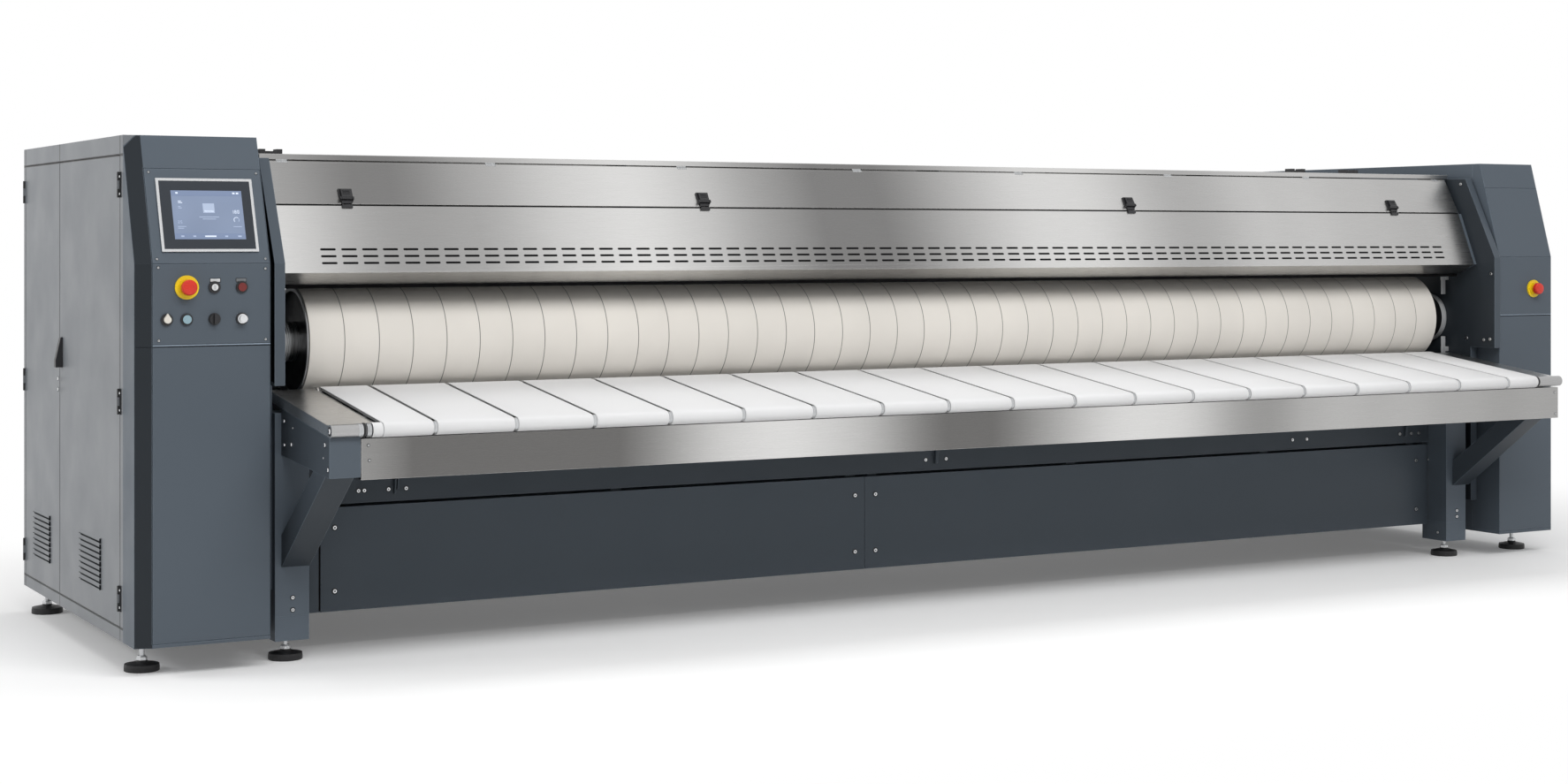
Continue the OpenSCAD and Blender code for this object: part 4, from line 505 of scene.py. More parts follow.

# The seam under the button panel: a lip painted light as the highlight it catches on the front, over a dark
# joint that goes on round the chamfer. The right housing has such a seam a little higher.
SEAM_Z, RIGHT_SEAM_Z = 1.0975, 1.1027
SEAM_EASE, SEAM_DEEP = 0.0001, 0.001
LIP, JOINT = 0, 1
LIP_OUT, JOINT_OUT = 0.0008, 0.0004
chamfer = (Matrix.Translation((LEFT_X, FRONT_Y + 0.020, 0))
           @ Matrix.Rotation(math.atan2(-0.020, 0.055), 4, "Z"))
seam_lip_highlight = powder_coat("seam_lip_coat", shade(PAINT, 2.4), 0.35)
joint = bmesh.new()
for x0, x1, z, lip in ((LEFT_X + 0.0555, LEFT_X + 0.4525, SEAM_Z, 0.0032),
                       (2.944, 3.269, RIGHT_SEAM_Z, 0.0029)):
    for low, high, out, part in ((z, z + lip, LIP_OUT, LIP), (z - 0.0042, z - 0.0002, JOINT_OUT, JOINT)):
        slab(joint, (x0, FRONT_Y - out, low), (x1, FRONT_Y + SEAM_DEEP, high), SEAM_EASE, material=part)
slab(joint, (0.001, -JOINT_OUT, SEAM_Z - 0.0042), (0.0578, SEAM_DEEP, SEAM_Z - 0.0002), SEAM_EASE,
     chamfer, JOINT)
shape_to_piece("housing_seam", joint, "frame", "paint", seam_lip_highlight, mouth_black)

# --- Touch panel ---
# A black glass front in a bright aluminium frame, let into the sloped panel. The lit picture behind the glass
# is made of plain blocks, a round gauge and a few numbers.
DISPLAY_X = (0.1365, 0.3765)
DISPLAY_UP = (0.084, 0.258)
GLASS_OUT = 0.0062
DISPLAY_TONE = (0.262, 0.330, 0.480)

aluminium = Surface("bright_aluminium", Metallic=1.0)
# The frame's edges are painted lighter, as a painted highlight
soft, edge_highlight = aluminium.folds(0.003)
aluminium.paint(aluminium.between(edge_highlight, (0.66, 0.67, 0.68), (0.95, 0.96, 0.97)))
aluminium.gloss(0.2, 0.3, 200.0, 2.0, (1, 1, 0.1))
aluminium.set(aluminium.body, "Normal", soft)
dress(aluminium, "touch_bezel")
glass = Surface("black_glass")
glass.tint((0.014, 0.020, 0.029), (0.018, 0.025, 0.036), 3.0)
glass.gloss(0.10, 0.16, 30.0)
dress(glass, "touch_glass")


def glow(name, colour, strength, depth=0.12):
    """A lit part of the picture: colour from below the glass, with a slight fall across it."""
    lit = Surface(name, Roughness=0.3, Emission_Strength=strength)
    lit.paint((*shade(colour, 0.35), 1))
    lit.set(lit.body, "Emission Color",
            lit.wander(shade(colour, 1 - depth), shade(colour, 1 + depth), 5.0, 1.0))
    return lit


# The bars of a seven-bar figure that are lit
SEGMENTS = {"0": "abcdef", "1": "bc", "2": "abged", "5": "afgcd", "8": "abcdefg"}


def digit(shape, figure, x, up, height, material):
    """One seven-bar figure on the screen."""
    w, t, out = height * 0.5, height * 0.13, GLASS_OUT + 0.0009
    bars = {"a": (0, height - t, w, height), "d": (0, 0, w, t),
            "g": (0, (height - t) / 2, w, (height + t) / 2),
            "f": (0, height / 2, t, height), "b": (w - t, height / 2, w, height),
            "e": (0, 0, t, height / 2), "c": (w - t, 0, w, height / 2)}
    for bar in SEGMENTS[figure]:
        x0, up0, x1, up1 = bars[bar]
        slab(shape, (x + x0, up + up0, out), (x + x1, up + up1, out + 0.0003), 0, on_slope, material)


picture = bmesh.new()
slab(picture, (DISPLAY_X[0], DISPLAY_UP[0], GLASS_OUT - 0.001), (DISPLAY_X[1], DISPLAY_UP[1], GLASS_OUT),
     0.0003, on_slope)
# Plain blocks: x and height up the slope of two corners, and the number of the colour
BLOCKS = (
    (0.1365, 0.2395, 0.3765, 0.258, 1), (0.1375, 0.084, 0.3755, 0.104, 1),
    (0.240, 0.178, 0.279, 0.212, 2), (0.243, 0.181, 0.276, 0.187, 3), (0.243, 0.190, 0.276, 0.1925, 1),
    (0.243, 0.196, 0.276, 0.1985, 1), (0.243, 0.202, 0.276, 0.2045, 1),
    (0.158, 0.213, 0.172, 0.2155, 3), (0.158, 0.2185, 0.168, 0.221, 3), (0.157, 0.194, 0.169, 0.1965, 2),
    (0.157, 0.1995, 0.165, 0.202, 2), (0.225, 0.162, 0.292, 0.1645, 2), (0.236, 0.155, 0.281, 0.1572, 2),
    (0.158, 0.092, 0.168, 0.097, 2), (0.198, 0.092, 0.208, 0.097, 2), (0.238, 0.092, 0.276, 0.097, 3),
    (0.306, 0.092, 0.316, 0.097, 2), (0.350, 0.092, 0.362, 0.097, 2), (0.152, 0.246, 0.160, 0.252, 3),
    (0.345, 0.246, 0.3535, 0.252, 3), (0.3575, 0.246, 0.366, 0.252, 3), (0.338, 0.128, 0.366, 0.130, 2),
    (0.150, 0.128, 0.178, 0.130, 2), (0.150, 0.122, 0.170, 0.124, 2))
for x0, up0, x1, up1, tint in BLOCKS:
    top = GLASS_OUT + 0.0006 + 0.0002 * (tint > 1)
    slab(picture, (x0, up0, GLASS_OUT + 0.0002), (x1, up1, top), 0, on_slope, tint)
for place, figure in enumerate("180"):
    digit(picture, figure, 0.337 + place * 0.0095, 0.176, 0.012, 3)
for place, figure in enumerate("25"):
    digit(picture, figure, 0.152 + place * 0.0085, 0.140, 0.010, 2)
# A round gauge of short arcs, the first of them lit brighter
GAUGE_ARCS, GAUGE_LIT = 20, 13
GAUGE_MIDDLE = (0.3506, 0.1535)
GAUGE_INNER, GAUGE_OUTER = 0.0075, 0.0100
for step in range(GAUGE_ARCS):
    tint = 3 if step < GAUGE_LIT else 2
    a0, a1 = (math.radians(225 - 270 * (step + part) / GAUGE_ARCS) for part in (0.0, 0.8))
    corners = [(GAUGE_MIDDLE[0] + r * math.cos(a), GAUGE_MIDDLE[1] + r * math.sin(a)) for r, a in (
        (GAUGE_INNER, a0), (GAUGE_OUTER, a0), (GAUGE_OUTER, a1), (GAUGE_INNER, a1))]
    low, high = ([picture.verts.new(on_slope @ Vector((x, up, out))) for x, up in corners]
                 for out in (GLASS_OUT + 0.0004, GLASS_OUT + 0.0008))
    for ring in (low, high):
        picture.faces.new(ring).material_index = tint
    for i in range(4):
        picture.faces.new((low[i], low[i - 1], high[i - 1], high[i])).material_index = tint
shape_to_piece("screen_picture", picture, "frame", "screen_glass", glow("display_field", DISPLAY_TONE, 0.55),
               glow("display_bar", (0.21, 0.275, 0.43), 0.6, 0.05),
               glow("display_pale", (0.42, 0.50, 0.66), 0.75, 0.05),
               glow("display_light", (0.66, 0.73, 0.85), 0.9, 0.03))

# --- Pilot devices ---
# Moulded heads in round black bezels, on 30.5 mm holes: two emergency stops on yellow collars,
# a key switch, three knobs and two push buttons. Two legend plates stand over the upper pair.


def moulded(name, colour, roughness=0.3, relief=0.1):
    """Moulded plastic, rubber or gloss paint, with a faint painted highlight along its edges."""
    plastic = Surface(name)
    soft, edge_highlight = plastic.folds(0.0012)
    tone = plastic.wander(shade(colour, 0.95), shade(colour, 1.04), 20.0)
    plastic.paint(plastic.between(plastic.math("MULTIPLY", edge_highlight, 0.4), tone, shade(colour, 1.6)))
    plastic.gloss(roughness - 0.04, roughness + 0.08, 80.0)
    plastic.relief(plastic.grain(1500.0), 0.0001, relief, soft)
    return plastic


black_plastic = moulded("black_plastic", (0.016, 0.016, 0.018), 0.38)
dress(black_plastic, "pilot_bezels", "black_selector", "door_handle", "latch_bases", "latch_lever_1",
      "latch_lever_2", "latch_lever_3", "latch_lever_4", "canopy_catches")
dress(moulded("yellow_plastic", (0.88, 0.62, 0.012)), "estop_collars")
dress(moulded("red_plastic", (0.66, 0.030, 0.014), 0.28), "left_estop", "right_estop")
dress(moulded("deep_red_plastic", (0.16, 0.016, 0.014)), "red_button")
dress(moulded("ivory_plastic", (0.80, 0.76, 0.68)), "white_knob")
dress(moulded("pale_blue_plastic", (0.28, 0.42, 0.48)), "blue_button")
chrome = Surface("chrome", Metallic=1.0, Base_Color=(0.72, 0.73, 0.74, 1))
chrome.gloss(0.06, 0.14, 60.0)
chrome.set(chrome.body, "Normal", chrome.folds(0.0015)[0])
dress(chrome, "key_switch", "speed_knob")

# A black legend plate with a plain field; x from the middle, height, out of the panel
on_front = Matrix(((1, 0, 0, 0), (0, 0, -1, FRONT_Y), (0, 1, 0, 0), (0, 0, 0, 1)))
for name, x, field in (("key_legend_plate", -3.002, (0.62, 0.63, 0.64)),
                       ("stop_legend_plate", -2.914, (0.16, 0.17, 0.18))):
    plate = bmesh.new()
    for half, low, high, under, top, edge, part in (
            (0.0185, 1.307, 1.321, 0.0002, 0.0010, 0.0003, 0),
            (0.0165, 1.309, 1.319, 0.0008, 0.0013, 0.0002, 1)):
        slab(plate, (x - half, low, under), (x + half, high, top), edge, on_front, part)
    shape_to_piece(name, plate, "frame", "grey_plastic", black_plastic, moulded(name, field, 0.4))

# Dial marks: small dots of paint set round a knob
MARK_SIZE = (0.0009, 0.0009, 0.0006)
mark_tree = ShapeTree("dial_marks", Places="Geometry", Reach="Float", Count="Int", Paint="Material")
size = mark_tree.inputs
ring = mark_tree.add("CurvePrimitiveCircle", {"mode": "RADIUS"}, Resolution=size["Count"],
                     Radius=size["Reach"])
spots = mark_tree.add("CurveToPoints", {"mode": "EVALUATED"}, Curve=ring)
bar = mark_tree.add("MeshCube", Size=MARK_SIZE)
turned_bar = mark_tree.add("InstanceOnPoints", Points=spots.outputs["Points"],
                           Instance=bar, Rotation=spots.outputs["Rotation"])
upright = mark_tree.add("Transform", Geometry=turned_bar, Rotation=FACING_FRONT)
mark_tree.finish(mark_tree.skin(mark_tree.repeat(upright, size["Places"]), size["Paint"]))
mark_tree.make("speed_marks", [(-2.912, FRONT_Y - 0.0002, 1.185)], "frame", "white_plastic", Reach=0.0225,
               Count=14, Paint=moulded("white_marking", (0.62, 0.63, 0.64), 0.5).owner)

# --- Canopy ---
# Brushed stainless sheet over the roll: a slotted front panel, a hinged lid and a top. The long brush lines
# run with the machine, and soft upright bands of painted reflection lie across them.
STEEL_DARK = (0.225, 0.222, 0.220)
STEEL_LIGHT = (0.74, 0.735, 0.725)
FIRST_BAND, BAND_PITCH = -1.42, 2.02
BANDS_END = (0.7, 1.7)
CANOPY_LEFT, CANOPY_RIGHT = -2.747, 2.873
PANEL_LEAN = math.radians(22.5)
PANEL_FOOT = (-0.5415, 1.335)
RIB_XS = (-1.352, 0.063, 1.478)
BRUSH_LINES = (900.0, 2.0, (0.012, 1, 1))
SHEET_ROUGH = 0.3
SHEET_EDGE = (0.92, 0.92, 0.91)


def brushed(name, dark, light, first, pitch, flat_from, flat_to, left=None, end=0.56):
    """Brushed sheet with soft upright bands of painted reflection between a dark and a light tone, and a
    painted highlight along its edges.

    A band is brightest at first, and the next is one pitch on. The bands die away between flat_from and
    flat_to, where the level goes to end. Left is (added painted light, from, to) at the left; a negative
    amount is painted shade."""
    sheet = Surface(name, Metallic=1.0)
    soft, edge_highlight = sheet.folds(0.0025)
    along = sheet.reach("X")
    turns = sheet.math("MULTIPLY", sheet.math("SUBTRACT", along, first), math.tau / pitch)
    wave = sheet.math("COSINE", turns)
    swing = sheet.math("MULTIPLY", wave, sheet.spread(along, 0.5, 0.0, flat_from, flat_to))
    uneven = sheet.spread(sheet.grain(0.9, 2.0, (1, 0.02, 0.02)), -0.14, 0.14)
    rising = sheet.spread(along, 0.47, end, flat_from, flat_to)
    level = sheet.math("ADD", sheet.math("ADD", swing, rising), uneven)
    if left:
        level = sheet.math("ADD", level, sheet.spread(along, left[0], 0.0, *left[1:]))
    line = sheet.grain(*BRUSH_LINES)
    tone = sheet.between(level, dark, light)
    tone = sheet.between(sheet.spread(line, 0, 0.06), tone, (0.1, 0.1, 0.1))
    sheet.paint(sheet.between(sheet.math("MULTIPLY", edge_highlight, EDGE_SHARE), tone, SHEET_EDGE))
    sheet.gloss(SHEET_ROUGH - 0.05, SHEET_ROUGH + 0.06, *BRUSH_LINES)
    sheet.relief(line, 0.00008, 0.06, soft)
    return sheet


lid_steel = brushed("brushed_lid_steel", STEEL_DARK, STEEL_LIGHT, FIRST_BAND, BAND_PITCH, *BANDS_END)
panel_steel = brushed("brushed_panel_steel", STEEL_DARK, STEEL_LIGHT, FIRST_BAND, BAND_PITCH, *BANDS_END,
                      left=(0.65, CANOPY_LEFT, CANOPY_LEFT + 0.75))
dress(lid_steel, "canopy_lid", "canopy_top", "delivery_slide")
dress(panel_steel, "canopy_front")


def bar_along(shape, outline, x0, x1, place):
    """A straight bar along the machine with this outline of (out, up) points."""
    ends = [[shape.verts.new(place(x, *point)) for point in outline] for x in (x0, x1)]
    count = len(outline)
    for k in range(count):
        shape.faces.new((ends[0][k], ends[0][(k + 1) % count], ends[1][(k + 1) % count], ends[1][k]))
    for end in ends:
        shape.faces.new(end)


def leaning(foot, lean):
    """Gives places on a sheet that leans back from its foot: along the machine, out of it and up it."""
    def place(x, out, up):
        return (x, foot[0] - out * math.cos(lean) + up * math.sin(lean),
                foot[1] + out * math.sin(lean) + up * math.cos(lean))
    return place


on_panel = leaning(PANEL_FOOT, PANEL_LEAN)


def thin(points, thickness):
    """The closed outline of a folded sheet along a line of points, with its thickness inwards."""
    return [*points, *((out - thickness, up) for out, up in reversed(points))]


black_enamel = Surface("black_enamel")
black_enamel.tint((0.008, 0.0085, 0.0095), (0.013, 0.0135, 0.015), 12.0)
black_enamel.gloss(0.34, 0.48, 30.0)
black_enamel.relief(black_enamel.grain(500.0), 0.0002, 0.15)
seal_and_shade_black = Surface("lint_guard_black", Roughness=0.9, Specular_IOR_Level=0.1)
seal_and_shade_black.tint((0.004, 0.004, 0.0045), (0.009, 0.009, 0.0095), 30.0)

# A shallow black tray behind the slots, between the canopy's ribs, paints the shade inside the canopy
shade_trays = bmesh.new()
stops = (CANOPY_LEFT + 0.012, *RIB_XS, CANOPY_RIGHT - 0.012)
for start, end in zip(stops, stops[1:]):
    bar_along(shade_trays, thin([(-0.0045, 0.020), (-0.012, 0.027), (-0.012, 0.103), (-0.0045, 0.110)], 0.001),
              start + 0.008, end - 0.008, on_panel)
shape_to_piece("slot_shade_trays", shade_trays, "frame", "black_steel", seal_and_shade_black)

# A black lining with round ends fills each slot as painted shade, and its rim stands just over the sheet's
# face
SLOT_X0, SLOT_STEP, SLOTS = -2.5965, 0.076, 70
SLOT_MIDDLE = 0.0265
SLOT_ROWS = (0.036, 0.0617, 0.0874)
slot_tree = ShapeTree("slot_lining", Places="Geometry", Length="Float", Height="Float", Depth="Float",
                      Facing="Vector", Cloth="Material")
size = slot_tree.inputs
strip = slot_tree.add("CurvePrimitiveQuadrilateral", {"mode": "RECTANGLE"},
                      Width=size["Length"], Height=size["Height"])
rounded = slot_tree.add("FilletCurve", {"mode": "POLY"}, Curve=strip, Count=3,
                        Radius=slot_tree.math("MULTIPLY", size["Height"], 0.49), Limit_Radius=True)
filled = slot_tree.add("FillCurve", {"mode": "NGONS"}, Curve=rounded)
solid = slot_tree.add("ExtrudeMesh", {"mode": "FACES"}, Mesh=filled, Offset_Scale=size["Depth"])
linings = slot_tree.repeat(solid.outputs["Mesh"], size["Places"], Rotation=size["Facing"])
slot_tree.finish(slot_tree.skin(linings, size["Cloth"]))
slot_tree.make("slot_shade_linings", [on_panel(SLOT_X0 + i * SLOT_STEP + SLOT_MIDDLE, -0.0006, up)
                                for up in SLOT_ROWS for i in range(SLOTS)], "frame", "black_steel",
               Length=0.0560, Height=0.0080, Depth=0.0010, Facing=(math.radians(90) - PANEL_LEAN, 0.0, 0.0),
               Cloth=seal_and_shade_black.owner)

# A black strip hangs inside the canopy's lip, over the roll, as painted shade under the lip
shade_strip = bmesh.new()
slab(shade_strip, (CANOPY_LEFT + 0.004, -0.4385, 1.2795), (CANOPY_RIGHT - 0.004, -0.4355, 1.2960), 0.0008)
shape_to_piece("lip_shade_strip", shade_strip, "frame", "black_rubber", seal_and_shade_black)

# Three pressed ribs on each latch lever, where a thumb pulls it
LID_SEAM = (-0.4435, 1.572)
LID_LEAN = math.radians(29.1)
LATCH_XS = (-2.479, -1.061, 0.974, 2.472)
on_lid = leaning(LID_SEAM, LID_LEAN)
for number, x in enumerate(LATCH_XS, 1):
    ribs = bmesh.new()
    for up in (0.034, 0.0405, 0.047):
        bar_along(ribs, [(0.0136, up), (0.0168, up + 0.0008), (0.0168, up + 0.0026), (0.0130, up + 0.0034)],
                  x - 0.013, x + 0.013, on_lid)
    shape_to_piece(f"latch_ribs_{number}", ribs, f"latch_lever_{number}", "black_plastic", black_plastic)

# A black seal under the lid's lower edge
seal = bmesh.new()
bar_along(seal, [(-0.0060, -0.0040), (0.0003, -0.0040), (0.0006, -0.0020), (0.0003, -0.0002),
                 (-0.0060, -0.0002)], CANOPY_LEFT + 0.002, CANOPY_RIGHT - 0.002, on_lid)
shape_to_piece("lid_seal", seal, "frame", "black_rubber", seal_and_shade_black)

# --- Roll ---
# A steel shell with turned journals, wrapped in off-white felt. The cloth lies in bands side by side,
# and its joints show as fine grooves round the roll.
AXIS_Y, AXIS_Z = -0.2415, 1.087
FELT = (0.79, 0.755, 0.70)
BANDS = 42
FELT_INNER, FELT_OUTER = 0.1925, 0.2000
JOINT_DEPTH, JOINT_HALF = 0.0022, 0.0013
JOINT_SHADE = (0.0009, 0.0022)
ROUND_STEPS = 96
padding_low, padding_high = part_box("roll_padding")
band_pitch = (padding_high.x - padding_low.x) / BANDS


def skin_rings(shape, rings, material=0):
    """Skins a closed run of rings of points."""
    for here, there in zip(rings, rings[1:] + rings[:1]):
        for k in range(len(here)):
            face = shape.faces.new((here[k - 1], here[k], there[k], there[k - 1]))
            face.material_index, face.smooth = material, True


def turn(shape, outline, centre, steps=48, material=0):
    """Turns a closed outline of (along, radius) points about a line through centre along the machine."""
    rings = []
    for step in range(steps):
        angle = math.tau * step / steps
        rings.append([shape.verts.new((centre[0] + along, centre[1] + r * math.cos(angle),
                                       centre[2] + r * math.sin(angle))) for along, r in outline])
    skin_rings(shape, rings, material)


def eased_ring(inner, edge, top, length, ease=0.001):
    """A turned ring's outline of (along, radius) points, with both outer corners eased."""
    return [(0.0, inner), (0.0, edge), (ease, top), (length - ease, top), (length, edge), (length, inner)]


outline = [(0.0, FELT_INNER), (0.0, FELT_OUTER - 0.003), (0.0012, FELT_OUTER - 0.0008)]
for band in range(BANDS):
    start = band * band_pitch
    if band:
        outline += [(start - JOINT_HALF, FELT_OUTER - 0.0004), (start, FELT_OUTER - JOINT_DEPTH),
                    (start + JOINT_HALF, FELT_OUTER - 0.0004)]
    outline += [(start + 0.006, FELT_OUTER), (start + band_pitch / 2, FELT_OUTER + 0.0003),
                (start + band_pitch - 0.006, FELT_OUTER)]
length = BANDS * band_pitch
outline += [(length - 0.0012, FELT_OUTER - 0.0008), (length, FELT_OUTER - 0.003), (length, FELT_INNER)]

felt = Surface("padding_felt", Roughness=0.9, Sheen_Weight=0.12, Sheen_Roughness=0.5)
along = felt.reach("X")
started = felt.math("SUBTRACT", along, padding_low.x)
from_joint = felt.math("PINGPONG", started, band_pitch / 2)
band_tone = felt.add("TexWhiteNoise", {"noise_dimensions": "1D"},
                     W=felt.math("FLOOR", felt.math("DIVIDE", started, band_pitch)))
cloth = felt.wander(shade(FELT, 0.965), shade(FELT, 1.03), 3.0, 3.0)
cloth = felt.between(felt.spread(band_tone.outputs["Value"], 0, 0.06, 0, 1), cloth, shade(FELT, 0.75))
# The cloth is darkened in each joint's groove, as painted shade
open_cloth = felt.spread(from_joint, 0, 1, *JOINT_SHADE)
felt.paint(felt.between(open_cloth, shade(FELT, 0.36), cloth))
felt.relief(felt.grain(1400.0, 3.0), 0.0004, 0.3)

cover = bmesh.new()
turn(cover, outline, (padding_low.x, AXIS_Y, AXIS_Z), ROUND_STEPS)
roll_cover = shape_to_piece("roll_cover", cover, "roll", "padding", felt)
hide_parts("roll_padding")

TOOL_MARKS = (420.0, 2.0, (1, 0.004, 0.004))
turned_steel = Surface("turned_steel", Metallic=1.0)
turned_steel.tint((0.42, 0.43, 0.44), (0.62, 0.63, 0.64), *TOOL_MARKS)
turned_steel.gloss(0.2, 0.36, *TOOL_MARKS)
turned_steel.relief(turned_steel.grain(*TOOL_MARKS), 0.0002, 0.3)
dress(turned_steel, "roll_core", "front_roller", "drive_roller", "foot_spindles", "lid_hinge", "chest",
      "lift_cylinders")
dress(black_enamel, "roll_end_discs", "roll_bearings", "door_hinges")

# A turned guard ring with grooves sits on each bearing's flange
guard_rings = bmesh.new()
GUARD_STEPS = 64
GROOVED = [(0.0, 0.1062), (0.0, 0.1085), (0.0015, 0.1100), (0.0070, 0.1100), (0.0080, 0.1080),
           (0.0100, 0.1080), (0.0110, 0.1100), (0.0170, 0.1100), (0.0180, 0.1080), (0.0200, 0.1080),
           (0.0210, 0.1100), (0.0255, 0.1100), (0.0265, 0.1085), (0.0265, 0.1062)]
for start in (-2.7665, 2.8655):
    turn(guard_rings, GROOVED, (start, AXIS_Y, AXIS_Z), GUARD_STEPS)
satin_steel = Surface("satin_steel", Metallic=0.45)
satin_steel.tint((0.50, 0.51, 0.52), (0.72, 0.73, 0.74), 300.0, 2.0, (1, 0.01, 0.01))
satin_steel.gloss(0.3, 0.42, 80.0)
shape_to_piece("bearing_guard_rings", guard_rings, "frame", "machined_steel", satin_steel)

# Raised rings on the hubs at both ends
hub_rings = bmesh.new()
for start in (-2.676, -2.668, -2.660, -2.652, -2.644, 2.752, 2.760, 2.768, 2.776, 2.784, 2.792):
    turn(hub_rings, eased_ring(0.0698, 0.0718, 0.0726, 0.0044, 0.0008), (start, AXIS_Y, AXIS_Z))
shape_to_piece("hub_rings", hub_rings, "roll", "machined_steel", satin_steel)

# Flat guard straps beside the right hub, bolted to the cheek plate
straps = bmesh.new()
for low, high, foot in ((1.196, 1.290, 1.262), (0.918, 1.000, 0.930)):
    slab(straps, (2.846, -0.364, low), (2.872, -0.360, high), 0.0012)
    slab(straps, (2.868, -0.364, foot), (2.8925, -0.335, foot + 0.022), 0.0012)
shape_to_piece("hub_straps", straps, "frame", "machined_steel", satin_steel)

# --- Feed table ---
# Endless white polyester belts, laid side by side with a narrow gap over a steel roller at each end.
# Short collars hold the roller in the nose tube.
BELT = (0.80, 0.80, 0.805)
NOSE = (-1.0425, 0.828)
RISE = math.radians(7.384)
BELT_RUN = 0.6302
BELT_INNER, BELT_OUTER = 0.0223, 0.0250
BELT_EDGE = 0.0011
belt_spans = ([(-2.568, -2.396)] + [(-2.381 + 0.290 * i, -2.381 + 0.290 * i + 0.275) for i in range(17)]
              + [(2.549, 2.721)])

belt_cloth = Surface("white_belt", Roughness=0.7, Sheen_Weight=0.08)
belt_cloth.tint(shade(BELT, 0.965), BELT, 2.2, 3.0, (0.4, 1, 1))
warp, weft = (belt_cloth.add("TexWave", {"wave_type": "BANDS", "bands_direction": way},
                             Vector=belt_cloth.coordinates, Scale=260.0).outputs["Fac"] for way in "XY")
belt_cloth.relief(belt_cloth.math("MULTIPLY", warp, weft), 0.0002, 0.2)

# Each station of the loop: where its centre lies along the run, and which way its outside points
FRONT_STEPS, REAR_STEPS, RUN_STEPS = 14, 12, 8
stations = [(0.0, math.radians(270 - 180 * i / FRONT_STEPS)) for i in range(FRONT_STEPS + 1)]
stations += [(BELT_RUN * i / RUN_STEPS, math.radians(90)) for i in range(1, RUN_STEPS)]
stations += [(BELT_RUN, math.radians(90 - 180 * i / REAR_STEPS)) for i in range(REAR_STEPS + 1)]
stations += [(BELT_RUN * (1 - i / RUN_STEPS), math.radians(-90)) for i in range(1, RUN_STEPS)]
belts = bmesh.new()
side = [(0.0, BELT_INNER), (0.0, BELT_OUTER - BELT_EDGE),
        (BELT_EDGE * 0.4, BELT_OUTER - BELT_EDGE * 0.3), (BELT_EDGE, BELT_OUTER)]
for x0, x1 in belt_spans:
    section = [(x0 + x, r) for x, r in side] + [(x1 - x, r) for x, r in reversed(side)]
    loops = []
    for run, angle in stations:
        loop = []
        for x, r in section:
            u, w = run + r * math.cos(angle), r * math.sin(angle)
            loop.append(belts.verts.new((x, NOSE[0] + u * math.cos(RISE) - w * math.sin(RISE),
                                         NOSE[1] + u * math.sin(RISE) + w * math.cos(RISE))))
        loops.append(loop)
    skin_rings(belts, loops)
belt_cover = shape_to_piece("belt_loops", belts, "frame", "belt", belt_cloth)
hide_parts("feed_belts")

table_steel = brushed("brushed_table_steel", (0.56, 0.558, 0.555), (0.80, 0.795, 0.79), -2.2, 2.6, 0.9, 1.9)
# The tube across the nose is painted darker than the trays, as painted shade, and the trays' left flanges get
# a painted highlight
NOSE_TUBE_REAR = -1.012
tone = table_steel.body.inputs["Base Color"].links[0].from_socket
in_front = table_steel.math("LESS_THAN", table_steel.reach("Y"), NOSE_TUBE_REAR)
nose_tube_shade = table_steel.math("MULTIPLY", in_front, 0.5)
tone = table_steel.between(nose_tube_shade, tone, (0.16, 0.16, 0.165))
outer = table_steel.math("MULTIPLY", table_steel.turned_to("X", -1.0, 0.1), 0.8)
table_steel.paint(table_steel.between(outer, tone, (0.95, 0.95, 0.95)))
dress(table_steel, "table_rails")

# On the roller's left end a white sleeve and a steel ring turn with it; collars sit on the nose tube
NOSE_STEPS = 32
roller_parts = bmesh.new()
turn(roller_parts, eased_ring(0.0221, 0.0238, 0.0244, 0.0335), (-2.6045, *NOSE), NOSE_STEPS, 1)
turn(roller_parts, eased_ring(0.0084, 0.0222, 0.0232, 0.0155), (-2.6235, *NOSE), NOSE_STEPS, 0)
shape_to_piece("roller_sleeve", roller_parts, "front_roller", "machined_steel", turned_steel, belt_cloth)
collars = bmesh.new()
for x, edge, top, length, part in ((-2.6520, 0.0226, 0.0231, 0.016, 0), (-2.6355, 0.0240, 0.0244, 0.007, 1),
                                   (2.7245, 0.0236, 0.0241, 0.008, 1)):
    turn(collars, eased_ring(0.0221, edge, top, length), (x, *NOSE), NOSE_STEPS, part)
shape_to_piece("nose_collars", collars, "frame", "machined_steel", turned_steel, black_enamel)
screws("nose_end_screw", [(-2.7452, *NOSE)], 0.010, FACING_LEFT, washer=1.5)
screws("arm_screws", [(-2.745, y, z) for y, z in (
    (-0.9945, 0.781), (-1.0245, 0.702), (-0.572, 0.750), (-0.646, 0.756), (-0.520, 0.828), (-0.569, 0.831))],
       0.0075, FACING_LEFT)
screws("arm_small_screws", [(-2.745, -0.979, 0.737), (-2.745, -0.6615, 0.813)], 0.0035, FACING_LEFT)

# --- Front bar ---
# A folded stainless channel that closes the table's front, with an eased upper lip. Small screws hold it
# to the side trays.
# Its painted reflection fades to painted shade at its left end
bar_steel = brushed("brushed_bar_steel", (0.165, 0.162, 0.158), (0.76, 0.755, 0.745), -1.05, 1.62, 0.9, 1.4,
                    left=(-0.85, -2.0, -1.7), end=0.42)
dress(bar_steel, "front_bar")
screws("front_bar_screws", [(x, -1.0395, z) for x, z in (
    (-2.613, 0.778), (-2.609, 0.728), (2.849, 0.777), (2.854, 0.683))], 0.0042)

